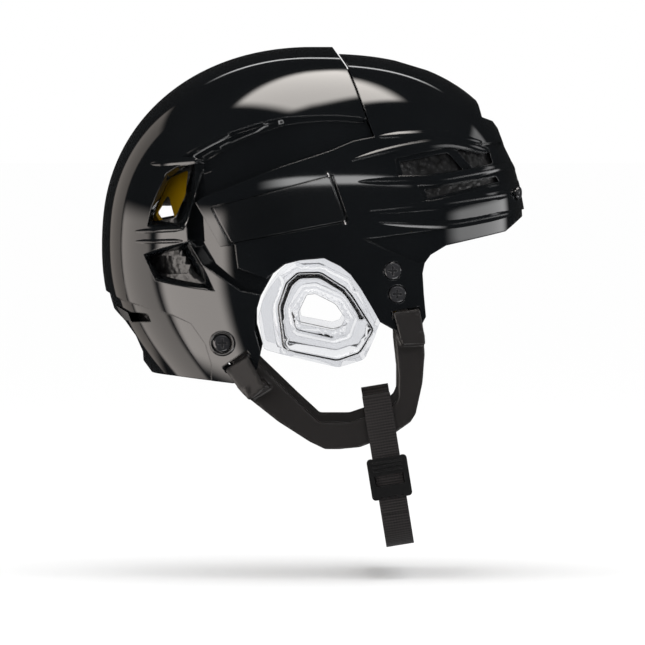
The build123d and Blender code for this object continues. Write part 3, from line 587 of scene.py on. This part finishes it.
def soften_edges(piece: Piece, width: float, degrees: float) -> None:
    """Bevel a piece's sharp edges.

    Args:
        piece: The piece.
        width: The bevel's width.
        degrees: Smallest angle between faces that is bevelled.
    """
    edge = piece.modifiers.new("edge", "BEVEL")
    edge.width = width
    edge.segments = 2
    edge.limit_method = "ANGLE"
    edge.angle_limit = math.radians(degrees)


def merged_copy(node: str, name: str) -> Piece:
    """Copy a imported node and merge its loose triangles.

    Args:
        node: The node's name.
        name: The new piece's name.

    Returns:
        The new piece, smooth but for its sharp edges.
    """
    shape = bmesh.new()
    shape.from_mesh(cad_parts[node].data)
    bmesh.ops.remove_doubles(shape, verts=shape.verts, dist=MERGE_DISTANCE)
    piece = link_piece(name, shape)
    piece.data.materials.clear()
    piece.data.shade_smooth()
    piece.data.set_sharp_from_angle(angle=SHARP_ANGLE)
    return piece


def dress(piece: Piece, material: Material) -> None:
    """Give a piece one material in every slot.

    Args:
        piece: The piece.
        material: The material.
    """
    slots = piece.data.materials
    if not slots:
        slots.append(material)
    for index in range(len(slots)):
        slots[index] = material


@dataclass
class MouldedForm:
    """The rounded form that the shells follow, in metres, for shading their faces without facets."""

    rear: float = 0.13846
    front: float = 0.14094
    side: float = 0.109
    crown: float = 0.12548
    tucks: Triple = (0.145, 0.330, 0.230)
    rises: Triple = (2.15, 2.5, 2.3)
    plan: float = 2.2
    probe: float = 2e-4
    top_level: float = 0.995
    least: float = 0.01

    def reaches(self, up: float, kind: Form, inset: float = 0.0) -> list[float]:
        """Rear, front and side reach of a form at a height.

        Args:
            up: The height.
            kind: Which form.
            inset: How far the form is drawn in.

        Returns:
            The three reaches.
        """
        step, rise = kind.value
        reaches = [self.rear - step - inset, self.front - step - inset, self.side - rise - inset]
        level = min(up / (self.crown - step - inset), self.top_level)
        for index in range(3):
            if level > 0:
                reaches[index] *= (1 - level ** self.rises[index]) ** (1 / self.rises[index])
            else:
                reaches[index] *= math.sqrt(max(self.least, 1 - (up / self.tucks[index]) ** 2))
        return reaches

    def field(self, point: Vector, kind: Form) -> float:
        """How far out a point is: 1 on the form, more outside.

        Args:
            point: A place in the frame.
            kind: Which form.

        Returns:
            The value of the form's field.
        """
        rear, front, side = self.reaches(point.z, kind)
        along = abs(point.x) / (front if point.x > 0 else rear)
        return (along**self.plan + (abs(point.y) / side) ** self.plan) ** (1 / self.plan)

    def across(self, ahead: float, up: float, kind: Form, inset: float = 0.0) -> float:
        """Side reach of a form at a place seen from the side.

        Args:
            ahead: Place along X.
            up: Place along Z.
            kind: Which form.
            inset: How far the form is drawn in.

        Returns:
            Distance from the middle plane.
        """
        rear, front, side = self.reaches(up, kind, inset)
        along = min(1.0, abs(ahead) / (front if ahead > 0 else rear))
        return side * (1 - along**self.plan) ** (1 / self.plan)

    def normal(self, point: Vector, kind: Form) -> Vector:
        """Outward direction of the form at a point.

        Args:
            point: A place in the frame.
            kind: Which form.

        Returns:
            The direction.
        """
        slopes = []
        for axis in range(3):
            shift = Vector((0, 0, 0))
            shift[axis] = self.probe
            slopes.append(self.field(point + shift, kind) - self.field(point - shift, kind))
        return Vector(slopes).normalized()

    def polish(
        self, piece: Piece, kind: Form, tolerance: float = 13.0, flat_share: float = 0.97
    ) -> None:
        """Shade the faces that follow the form with the form's own normals.

        Args:
            piece: A merged piece.
            kind: The form that it follows.
            tolerance: Largest angle in degrees between such a face and the form.
            flat_share: Share of the crown's height above which the faces keep their own smooth normals.
        """
        mesh = piece.data
        flat_height = flat_share * (self.crown - kind.value[0])
        limit = math.cos(math.radians(tolerance))
        ideals = [self.normal(vertex.co, kind) for vertex in mesh.vertices]
        corners = [corner.vector.copy() for corner in mesh.corner_normals]
        for face in mesh.polygons:
            for loop in face.loop_indices:
                corner = mesh.loops[loop].vertex_index
                if mesh.vertices[corner].co.z > flat_height:
                    continue
                ideal = ideals[corner]
                along = face.normal.dot(ideal)
                if abs(along) > limit:
                    corners[loop] = ideal if along > 0 else -ideal
        mesh.normals_split_custom_set(corners)


# Sub-assemblies


@dataclass
class Shells:
    """The two gloss shells, the levers and the racks."""

    bench: Bench
    form: MouldedForm = field(default_factory=MouldedForm)

    def build(self) -> None:
        """Replace the shells and levers with polished copies."""
        gloss = GLOSS_SHELL.make(self.bench)
        lever = GLOSS_LEVER.make(self.bench)
        plain = SLIDER_PLASTIC.make(self.bench)
        for node, body, kind in (("rear_shell", "rear", Form.REAR), ("front_shell", "front", Form.FRONT)):
            piece = merged_copy(node, f"{node}_moulding")
            self.form.polish(piece, kind)
            dress(piece, gloss)
            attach(piece, body)
            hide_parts(node)
        for side in Side:
            piece = merged_copy(f"{side.word}_lock_lever", f"{side.word}_lever_plate")
            self.form.polish(piece, Form.FRONT)
            dress(piece, lever)
            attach(piece, f"{side.word}_lever")
            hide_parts(f"{side.word}_lock_lever")
            dress(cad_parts[f"{side.word}_lock_rack"], plain)


@dataclass(frozen=True)
class Ridge:
    """A moulded ridge on a shell.

    Args:
        name: Its name.
        body: The shell's body.
        line: Its line, seen from the side.
        half_width: Half its width.
        rise: How far it stands out.
        ring: Whether its line closes.
    """

    name: str
    body: str
    line: tuple[Pair, ...]
    half_width: float = 0.0036
    rise: float = 0.0014
    ring: bool = False


def ring_line(ahead: float, up: float, radius: float, count: int = 24) -> tuple[Pair, ...]:
    """Places round a circle seen from the side, back to the first.

    Args:
        ahead: The middle along X.
        up: The middle along Z.
        radius: The circle's radius.
        count: How many steps go round it.

    Returns:
        The places.
    """
    turns = [math.tau * step / count for step in range(count + 1)]
    return tuple((ahead + radius * math.cos(turn), up + radius * math.sin(turn)) for turn in turns)


@dataclass
class Ridges:
    """Forehead bars, brow lines, vent ribs and screw rings that stand on the shells."""

    form: MouldedForm = field(default_factory=MouldedForm)
    root: float = 0.0021
    sink: float = 0.0003
    steps: int = 56
    rows: int = 10
    easings: int = 40
    taper: float = 5.0
    end_width: float = 0.3
    join: float = 1e-6
    ridges: tuple[Ridge, ...] = (
        Ridge("crown_bar", "front", ((0.040, 0.0675), (0.081, 0.0695), (0.108, 0.0635))),
        Ridge("upper_bar", "front", ((0.022, 0.0520), (0.055, 0.0605), (0.088, 0.0650), (0.112, 0.0580))),
        Ridge("middle_bar", "front", ((0.026, 0.0390), (0.081, 0.0400), (0.122, 0.0480))),
        Ridge("brow_bar", "front", ((0.034, 0.0200), (0.078, 0.0240), (0.128, 0.0310))),
        Ridge("brow_edge", "front", ((0.040, 0.0130), (0.088, 0.0110), (0.131, 0.0190)), 0.0028),
        Ridge("vent_head", "rear", ((-0.106, 0.0500), (-0.075, 0.0525)), 0.0028),
        Ridge("vent_rib_upper", "rear", ((-0.116, 0.0065), (-0.084, 0.0085)), 0.0022),
        Ridge("vent_rib_lower", "rear", ((-0.116, 0.0000), (-0.084, 0.0010)), 0.0022),
        Ridge("screw_ring", "rear", ring_line(-0.05926, -0.06439, 0.0074), 0.0011, 0.0007, True),
    )

    def spots(self, ridge: Ridge) -> list[Vector]:
        """Even places along a ridge's line, with its corners eased.

        Args:
            ridge: The ridge.

        Returns:
            Places seen from the side.
        """
        points = [Vector(point) for point in ridge.line]
        lengths = [(b - a).length for a, b in zip(points, points[1:])]
        spots = []
        for step in range(self.steps + 1):
            left = sum(lengths) * step / self.steps
            index = 0
            while index < len(lengths) - 1 and left > lengths[index]:
                left -= lengths[index]
                index += 1
            spots.append(points[index].lerp(points[index + 1], left / lengths[index]))
        for _ in range(0 if ridge.ring else self.easings):
            trios = zip(spots, spots[1:], spots[2:])
            eased = [(before + spot * 2 + after) / 4 for before, spot, after in trios]
            spots = [spots[0], *eased, spots[-1]]
        return spots

    def piece(self, ridge: Ridge, side: Side) -> Piece:
        """Make one ridge on one side.

        Args:
            ridge: The ridge.
            side: Which side.

        Returns:
            The ridge as a closed bar, rooted in the shell's wall.
        """
        kind = Form.FRONT if ridge.body == "front" else Form.REAR
        spots = self.spots(ridge)
        strip = bmesh.new()
        bmesh.ops.create_grid(strip, x_segments=self.steps, y_segments=self.rows, size=0.5)
        for vert in strip.verts:
            step = round((vert.co.x + 0.5) * self.steps)
            over = vert.co.y * 2
            before, after = spots[max(0, step - 1)], spots[min(self.steps, step + 1)]
            if ridge.ring and step in (0, self.steps):
                before, after = spots[-2], spots[1]
            run = (after - before).normalized()
            share = step / self.steps
            full = 1.0 if ridge.ring else min(1.0, self.taper * share, self.taper * (1 - share)) ** 0.5
            spread = self.end_width + (1 - self.end_width) * full
            spot = spots[step] + Vector((-run.y, run.x)) * over * ridge.half_width * spread
            rise = ridge.rise * full * (1 - over**2) ** 2 - self.sink
            reach = self.form.across(spot.x, spot.y, kind) + rise
            vert.co = (spot.x, side.value * reach, spot.y)
        if side is Side.LEFT:
            bmesh.ops.reverse_faces(strip, faces=strip.faces)
        if ridge.ring:
            bmesh.ops.remove_doubles(strip, verts=strip.verts, dist=self.join)
        bar = link_piece(f"{side.word}_{ridge.name}", strip)
        add_wall(bar, self.root, INWARDS)
        return bar

    def build(self) -> None:
        """Make and dress every ridge on both sides."""
        gloss = bpy.data.materials[GLOSS_SHELL.name]
        for ridge in self.ridges:
            for side in Side:
                bar = self.piece(ridge, side)
                dress(bar, gloss)
                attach(bar, ridge.body)


@dataclass
class Liners:
    """Foam liners, slip liners and their anchors."""

    bench: Bench
    form: MouldedForm = field(default_factory=MouldedForm)
    vent_middle: Pair = (-0.0945, -0.0150)
    vent_size: Pair = (0.034, 0.019)
    vent_inset: float = 0.0125
    vent_wall: float = 0.005
    vent_grid: tuple[int, int] = (14, 8)
    vent_edge: float = 0.0008
    vent_corner: float = 30.0

    def vent_foam(self, side: Side) -> Piece:
        """Make the curved foam panel that shows through the low side vent.

        Args:
            side: Which side.

        Returns:
            The panel.
        """
        sheet = bmesh.new()
        columns, rows = self.vent_grid
        bmesh.ops.create_grid(sheet, x_segments=columns, y_segments=rows, size=0.5)
        bmesh.ops.scale(sheet, verts=sheet.verts, vec=(*self.vent_size, 1.0))
        for vert in sheet.verts:
            ahead, up = vert.co.x + self.vent_middle[0], vert.co.y + self.vent_middle[1]
            vert.co = (ahead, side.value * self.form.across(ahead, up, Form.REAR, self.vent_inset), up)
        if side is Side.LEFT:
            bmesh.ops.reverse_faces(sheet, faces=sheet.faces)
        piece = link_piece(f"{side.word}_vent_foam", sheet)
        add_wall(piece, self.vent_wall, INWARDS)
        soften_edges(piece, self.vent_edge, self.vent_corner)
        return piece

    def build(self) -> None:
        """Replace the foam with merged foam pieces and dress the slip layers."""
        foam = FoamFinish().make(self.bench)
        yellow = SLIP_YELLOW.make(self.bench)
        elastomer = ELASTOMER.make(self.bench)
        for half in ("rear", "front"):
            piece = merged_copy(f"{half}_liner", f"{half}_foam")
            dress(piece, foam)
            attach(piece, half)
            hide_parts(f"{half}_liner")
            dress(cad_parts[f"{half}_slip_liner"], yellow)
            dress(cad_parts[f"{half}_slip_anchor"], elastomer)
        for side in Side:
            piece = self.vent_foam(side)
            dress(piece, foam)
            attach(piece, "rear")


@dataclass
class Padding:
    """Comfort pads, puffed by cloth under pressure."""

    bench: Bench
    voxel: float = 0.004
    fewest_voxels: int = 3
    softness: float = 0.6
    rounds: int = 3
    pressure: float = 4.0
    frames: int = 20
    cap: float = 0.0022
    pads: dict[str, str] = field(
        default_factory=lambda: {
            "forehead_pad": "front_slip",
            "crown_pad": "rear_slip",
            "rear_pad": "rear_slip",
            "right_side_pad": "rear_slip",
            "left_side_pad": "rear_slip",
            "nape_pad": "rear",
            "right_temple_pad": "front",
            "left_temple_pad": "front",
        }
    )

    def remeshed(self, node: str) -> Piece:
        """Make an even mesh of a pad, a little smaller than its solid.

        Args:
            node: The pad's node.

        Returns:
            The pad, ready to be puffed.
        """
        piece = merged_copy(node, f"{node}_cushion")
        voxel = min(self.voxel, min(piece.dimensions) / self.fewest_voxels)
        even_out(piece, voxel, self.softness, self.rounds)
        return piece

    def puff(self, pieces: list[Piece]) -> None:
        """Blow the pads up a little and cap how far each point moves.

        Args:
            pieces: The pads.
        """
        starts = {piece.name: [vertex.co.copy() for vertex in piece.data.vertices] for piece in pieces}
        for piece in pieces:
            cloth = piece.modifiers.new("cloth", "CLOTH").settings
            cloth.use_pressure = True
            cloth.uniform_pressure_force = self.pressure
            cloth.effector_weights.gravity = 0.0
        scene = bpy.context.scene
        for step in range(1, self.frames + 1):
            scene.frame_set(step)
        for piece in pieces:
            bake(piece)
            for vertex, start in zip(piece.data.vertices, starts[piece.name]):
                move = vertex.co - start
                if move.length > self.cap:
                    vertex.co = start + move.normalized() * self.cap
        scene.frame_set(1)

    def build(self) -> None:
        """Make, puff and dress the pads."""
        cloth = PAD_CLOTH.make(self.bench)
        pieces = [self.remeshed(node) for node in self.pads]
        self.puff(pieces)
        for piece, (node, body) in zip(pieces, self.pads.items()):
            rounded = piece.modifiers.new("rounded", "SUBSURF")
            rounded.levels = rounded.render_levels = 1
            piece.data.shade_smooth()
            dress(piece, cloth)
            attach(piece, body)
            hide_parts(node)


@dataclass
class EarGuards:
    """Clear guards inside the ear openings."""

    bench: Bench

    def build(self) -> None:
        """Replace the guards with smooth clear pieces."""
        clear = ClearFinish().make(self.bench)
        for side in Side:
            node = f"{side.word}_ear_guard"
            piece = merged_copy(node, f"{node}_moulding")
            dress(piece, clear)
            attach(piece, "front")
            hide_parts(node)


@dataclass
class Slings:
    """Soft ear loops between the two halves."""

    bench: Bench
    voxel: float = 0.0009
    softness: float = 0.5
    rounds: int = 4
    reach: float = 0.088
    front_hold: float = 0.045
    rear_hold: float = -0.030

    def build(self) -> None:
        """Round the slings' edges."""
        rubber = SLING_RUBBER.make(self.bench)
        for side in Side:
            node = f"{side.word}_sling"
            piece = merged_copy(node, f"{node}_loop")
            even_out(piece, self.voxel, self.softness, self.rounds)
            piece.data.shade_smooth()
            dress(piece, rubber)
            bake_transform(piece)
            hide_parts(node)


@dataclass
class ChinStrap:
    """Webbing from sling to sling, with its slider and snap."""

    bench: Bench
    top: Vector = field(default_factory=lambda: Vector((0.0401775, 0.0, -0.1040066)))
    lean: float = math.radians(9.2)
    side: float = 0.0875
    width: float = 0.018
    wall: float = 0.0015
    corner: float = 0.022
    depth: float = 0.0915
    layer_gap: float = 0.0033
    bridge: float = 0.005
    fork_start: float = 0.030
    fork_end: float = 0.0335
    double_end: float = 0.070
    bend_steps: int = 8
    layer_share: float = 0.75
    fork_ease: float = 0.002
    fork_pinch: float = 0.001
    fold_down: float = 0.002
    fold_across: float = 0.0012
    fold_rise: float = 0.0003
    soft_edge: float = 0.0003
    soft_corner: float = 60.0

    def place(self, across: float, down: float) -> Vector:
        """Middle of the webbing's width at a place in the strap's plane.

        Args:
            across: Distance to the wearer's left.
            down: Distance down the plane.

        Returns:
            The place in the frame.
        """
        lean = Vector((math.sin(self.lean), 0.0, -math.cos(self.lean)))
        return self.top + Vector((0.0, across, 0.0)) + lean * down

    def run(self, points: list[Pair]) -> Shape:
        """Make a strip of webbing along a line in the strap's plane.

        Args:
            points: Places across and down.

        Returns:
            A strip with UVs along and across it.
        """
        strip = bmesh.new()
        widthways = Vector((math.cos(self.lean), 0.0, math.sin(self.lean))) * (self.width / 2)
        first = self.place(*points[0])
        edge = [strip.verts.new(first - widthways), strip.verts.new(first + widthways)]
        rails = [strip.edges.new(edge)]
        uv = strip.loops.layers.uv.new("along")
        travelled = {vertex: 0.0 for vertex in edge}
        total = 0.0
        last = first
        for point in points[1:]:
            spot = self.place(*point)
            total += (spot - last).length
            made = bmesh.ops.extrude_edge_only(strip, edges=rails)["geom"]
            verts = [item for item in made if isinstance(item, bmesh.types.BMVert)]
            bmesh.ops.translate(strip, verts=verts, vec=spot - last)
            lines = [item for item in made if isinstance(item, bmesh.types.BMEdge)]
            rails = [item for item in lines if set(item.verts) == set(verts)]
            for vertex in verts:
                travelled[vertex] = total
            last = spot
        for face in strip.faces:
            for loop in face.loops:
                across = (loop.vert.co - self.top).dot(widthways.normalized())
                loop[uv].uv = (across, travelled[loop.vert])
        return strip

    def strap_line(self) -> list[Pair]:
        """Line of the strap from its right fork, round both corners, to its left fork."""
        count = self.bend_steps
        straight = self.depth - self.corner - self.fork_end
        right = [(-self.side, self.fork_end + step * straight / count) for step in range(count + 1)]
        bend = []
        for step in range(1, count + 1):
            turn = math.radians(90) * step / count
            across = -self.side + self.corner - self.corner * math.cos(turn)
            bend.append((across, self.depth - self.corner + self.corner * math.sin(turn)))
        half = right + bend + [(-self.side / 3, self.depth), (0.0, self.depth)]
        return half + [(-across, down) for across, down in reversed(half[:-1])]

    def loop_line(self, side: Side) -> list[Pair]:
        """Line of the doubled webbing round a sling's lower bar, from its inner end to its outer end.

        Args:
            side: Which side.

        Returns:
            Places across and down.
        """
        middle = self.side * side.value
        gap = self.layer_gap + self.wall / 2
        layer = self.wall * self.layer_share
        top = self.bridge + self.wall / 2
        half = [
            (layer, self.double_end),
            (layer, self.fork_end + self.fork_ease),
            (gap, self.fork_start - self.fork_pinch),
            (gap, self.fork_start / 2),
            (gap, -top + self.fold_down),
            (gap - self.fold_across, -top),
        ]
        inner = [(middle - away * side.value, down) for away, down in half]
        outer = [(middle + away * side.value, down) for away, down in reversed(half)]
        return [*inner, (middle, -top - self.fold_rise), *outer]

    def piece(self, name: str, line: list[Pair]) -> Piece:
        """Turn a line into a strip of webbing with a wall and soft edges.

        Args:
            name: The piece's name.
            line: Places across and down.

        Returns:
            The piece.
        """
        strip = self.run(line)
        bmesh.ops.recalc_face_normals(strip, faces=strip.faces)
        piece = link_piece(name, strip)
        add_wall(piece, self.wall, BOTH_WAYS)
        soften_edges(piece, self.soft_edge, self.soft_corner)
        return piece

    def build(self) -> None:
        """Build the webbing and dress the slider and snap."""
        webbing = WEBBING.make(self.bench)
        strap = self.piece("chin_webbing", self.strap_line())
        pieces = [strap] + [self.piece(f"{side.word}_webbing_loop", self.loop_line(side)) for side in Side]
        for piece in pieces:
            dress(piece, webbing)
            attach(piece, "strap")
        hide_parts("chin_strap")
        plastic = bpy.data.materials[SLIDER_PLASTIC.name]
        dress(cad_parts["strap_slider"], plastic)
        dress(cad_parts["snap_socket"], plastic)


@dataclass
class Hardware:
    """Screws, nuts, pins and the vent insert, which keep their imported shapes."""

    bench: Bench

    def build(self) -> None:
        """Dress each carried-over node."""
        black = SCREW_BLACK.make(self.bench)
        steel = NUT_STEEL.make(self.bench)
        grey = GREY_INSERT.make(self.bench)
        for name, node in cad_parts.items():
            if name.endswith("_screw") or name == "snap_cap":
                dress(node, black)
            elif name.endswith(("_nut", "_pin")):
                dress(node, steel)
            elif name == "rear_vent_insert":
                dress(node, grey)
        log.info("screws, nuts, pins and insert dressed")


@dataclass(frozen=True)
class Softbox:
    """A glowing panel that only the gloss mirrors.

    Args:
        name: Its name.
        toward: Direction from the helmet to its middle.
        half: Half sizes of its face, in metres.
        strength: How strongly it glows.
        soft: Share of its half size over which its edge fades.
        tint: Its colour.
    """

    name: str
    toward: Triple
    half: Pair
    strength: float
    soft: float = 0.3
    tint: Triple = (1.0, 1.0, 1.0)


@dataclass
class Studio:
    """Floor, surroundings, softboxes, lamps and camera."""

    floor_height: float = -0.2165
    floor_size: float = 60.0
    frame_width: float = 0.41925
    middle: Pair = (0.004875, -0.053625)
    distance: float = 6.0
    elevation: float = math.radians(1.5)
    sensor: float = 0.036
    paper: float = 0.99
    tent: float = 3.0
    tent_glow: float = 0.02
    reach: float = 2.2
    boxes: tuple[Softbox, ...] = (
        Softbox("softbox_overhead", (-0.02, 0.02, 1.0), (0.98, 0.64), 10.0, 0.35, (1.0, 0.95, 0.90)),
        Softbox("softbox_top_edge", (0.02, 0.70, 0.72), (1.0, 0.05), 4.0, 0.5),
        Softbox("softbox_low_rear", (-0.82, -0.55, -0.20), (0.95, 1.0), 6.0, 0.35, (1.0, 0.93, 0.88)),
        Softbox("softbox_rear", (-0.95, 0.16, -0.27), (0.80, 1.1), 2.4, 0.3, (1.0, 0.92, 0.86)),
        Softbox("softbox_back", (-0.78, 0.62, 0.09), (0.46, 1.4), 0.8, 0.2, (1.0, 0.90, 0.82)),
        Softbox("softbox_brow", (1.0, 0.04, 0.06), (1.5, 0.24), 3.4, 0.45),
        Softbox("softbox_front", (0.80, 0.35, 0.50), (0.35, 0.25), 1.6, 0.6),
        Softbox("softbox_low_front", (0.35, -0.45, -0.85), (1.2, 0.5), 6.0, 0.5),
        Softbox("softbox_near_strip", (0.15, -0.90, 0.42), (1.3, 0.12), 7.0, 0.6),
    )

    @staticmethod
    def stage_piece(name: str, shape: Shape, material: Material) -> Piece:
        """Link a piece of the stage.

        Args:
            name: The piece's name.
            shape: Its mesh, in place.
            material: Its material.

        Returns:
            The piece.
        """
        piece = link_piece(name, shape)
        dress(piece, material)
        return piece

    @staticmethod
    def sheet(half: Pair) -> Shape:
        """Make a flat rectangle about the origin, with its UVs.

        Args:
            half: Half sizes along X and Y.

        Returns:
            The rectangle.
        """
        made = bmesh.new()
        made.loops.layers.uv.new("face")
        bmesh.ops.create_grid(made, x_segments=1, y_segments=1, size=1.0, calc_uvs=True)
        bmesh.ops.scale(made, verts=made.verts, vec=(half[0], half[1], 1.0))
        return made

    @staticmethod
    def glow(name: str, colour: Triple, strength: float, soft: float) -> Material:
        """Make a glowing material that fades towards the edges of its sheet.

        Args:
            name: The material's name.
            colour: Its colour.
            strength: How strongly it glows.
            soft: Share of the half size over which it fades; 0 for an even glow.

        Returns:
            The material.
        """
        material = bpy.data.materials.new(name)
        material.use_nodes = True
        tree = material.node_tree
        tree.nodes.clear()
        light = add_node(tree, "Emission", {"Color": (*colour, 1.0), "Strength": strength})
        end = add_node(tree, "OutputMaterial")
        tree.links.new(light.outputs["Emission"], end.inputs["Surface"])
        if soft:
            split = add_node(tree, "SeparateXYZ")
            both = add_node(tree, "Math", operation="MULTIPLY")
            level = add_node(tree, "Math", {1: strength}, operation="MULTIPLY")
            tree.links.new(add_node(tree, "TexCoord").outputs["UV"], split.inputs["Vector"])
            for index, axis in enumerate(("X", "Y")):
                tree.links.new(Studio.fade(tree, split.outputs[axis], soft), both.inputs[index])
            tree.links.new(both.outputs["Value"], level.inputs[0])
            tree.links.new(level.outputs["Value"], light.inputs["Strength"])
        return material

    @staticmethod
    def fade(tree: Tree, along: Socket, soft: float) -> Socket:
        """Fade to nothing at both ends of a 0 to 1 coordinate.

        Args:
            tree: The tree that takes the nodes.
            along: The coordinate.
            soft: Share of the half size over which it fades.

        Returns:
            The faded value.
        """
        away = add_node(tree, "Math", {1: 0.5}, operation="SUBTRACT")
        size = add_node(tree, "Math", operation="ABSOLUTE")
        limits = {"From Min": 0.5, "From Max": 0.5 - soft / 2}
        ease = add_node(tree, "MapRange", limits, interpolation_type="SMOOTHSTEP")
        tree.links.new(along, away.inputs[0])
        tree.links.new(away.outputs["Value"], size.inputs[0])
        tree.links.new(size.outputs["Value"], ease.inputs["Value"])
        return ease.outputs["Result"]

    @staticmethod
    def gloss_only(piece: Piece) -> None:
        """Hide a stage piece from everything but gloss.

        Args:
            piece: The piece.
        """
        piece.visible_camera = False
        piece.visible_diffuse = False
        piece.visible_transmission = False
        piece.visible_shadow = False

    def floor(self) -> None:
        """Lay the floor."""
        sheet = self.sheet((self.floor_size / 2, self.floor_size / 2))
        bmesh.ops.translate(sheet, verts=sheet.verts, vec=(0.0, 0.0, self.floor_height))
        paper = Coat("floor_paper")
        white = (self.paper, self.paper, self.paper, 1.0)
        paper.set(Base_Color=white, Roughness=1.0, Specular_IOR_Level=0.0)
        self.stage_piece("floor", sheet, paper.material).visible_glossy = False

    def dark_tent(self) -> None:
        """Close a dark dome round the helmet that only the gloss sees, so that black stays black."""
        dome = bmesh.new()
        bmesh.ops.create_icosphere(dome, subdivisions=3, radius=self.tent)
        cloth = self.glow("tent_cloth", (1.0, 1.0, 1.0), self.tent_glow, 0.0)
        self.gloss_only(self.stage_piece("dark_tent", dome, cloth))

    def softboxes(self) -> None:
        """Hang the panels that the gloss mirrors."""
        for box in self.boxes:
            panel = self.sheet(box.half)
            place = Vector(box.toward).normalized() * self.reach
            turn = (-place).to_track_quat("Z", "Y")
            bmesh.ops.rotate(panel, verts=panel.verts, cent=(0.0, 0.0, 0.0), matrix=turn.to_matrix())
            bmesh.ops.translate(panel, verts=panel.verts, vec=place)
            glow = self.glow(f"{box.name}_glow", box.tint, box.strength, box.soft)
            self.gloss_only(self.stage_piece(box.name, panel, glow))

    def world(self) -> None:
        """Make even white surroundings."""
        world = bpy.data.worlds.new("studio")
        bpy.context.scene.world = world
        world.use_nodes = True
        background = world.node_tree.nodes["Background"]
        background.inputs["Color"].default_value = (1.0, 1.0, 1.0, 1.0)
        background.inputs["Strength"].default_value = 1.0

    def lamp(self, name: str, place: Triple, size: float, power: float) -> None:
        """Hang a soft square lamp that faces the helmet and isn't mirrored.

        Args:
            name: The lamp's name.
            place: Where it hangs.
            size: Its width.
            power: Watts.
        """
        data = bpy.data.lights.new(name, "AREA")
        data.size = size
        data.energy = power
        lamp = bpy.data.objects.new(name, data)
        lamp.location = place
        lamp.rotation_euler = (-Vector(place)).to_track_quat("-Z", "Y").to_euler()
        lamp.visible_glossy = False
        bpy.context.scene.collection.objects.link(lamp)

    def camera(self) -> None:
        """Set a long lens at the photograph's angle."""
        data = bpy.data.cameras.new("camera")
        data.sensor_width = self.sensor * 1000
        data.lens = data.sensor_width * self.distance / self.frame_width
        data.clip_end = 100.0
        camera = bpy.data.objects.new("camera", data)
        aim = Vector((self.middle[0], 0.0, self.middle[1]))
        back = Vector((0.0, -math.cos(self.elevation), math.sin(self.elevation))) * self.distance
        camera.location = aim + back
        camera.rotation_euler = (-back).to_track_quat("-Z", "Y").to_euler()
        bpy.context.scene.collection.objects.link(camera)
        bpy.context.scene.camera = camera

    def build(self) -> None:
        """Set the whole studio."""
        self.floor()
        self.world()
        self.dark_tent()
        self.softboxes()
        self.lamp("lamp_overhead", (0.1, -0.3, 1.6), 1.0, 4.0)
        self.lamp("lamp_front", (0.9, -1.6, 0.5), 1.0, 6.0)
        self.camera()
        bpy.context.scene.view_settings.view_transform = "Standard"


def main() -> None:
    """Build the pieces in order."""
    logging.basicConfig(level=logging.INFO, format="%(name)s: %(message)s")
    bench = Bench()
    assemblies = (
        Shells(bench), Ridges(), Liners(bench), Padding(bench),
        EarGuards(bench), Slings(bench), ChinStrap(bench), Hardware(bench),
    )
    for assembly in assemblies:
        assembly.build()
        log.info("%s done", type(assembly).__name__)
    Studio().build()


if __name__ == "__main__":
    main()
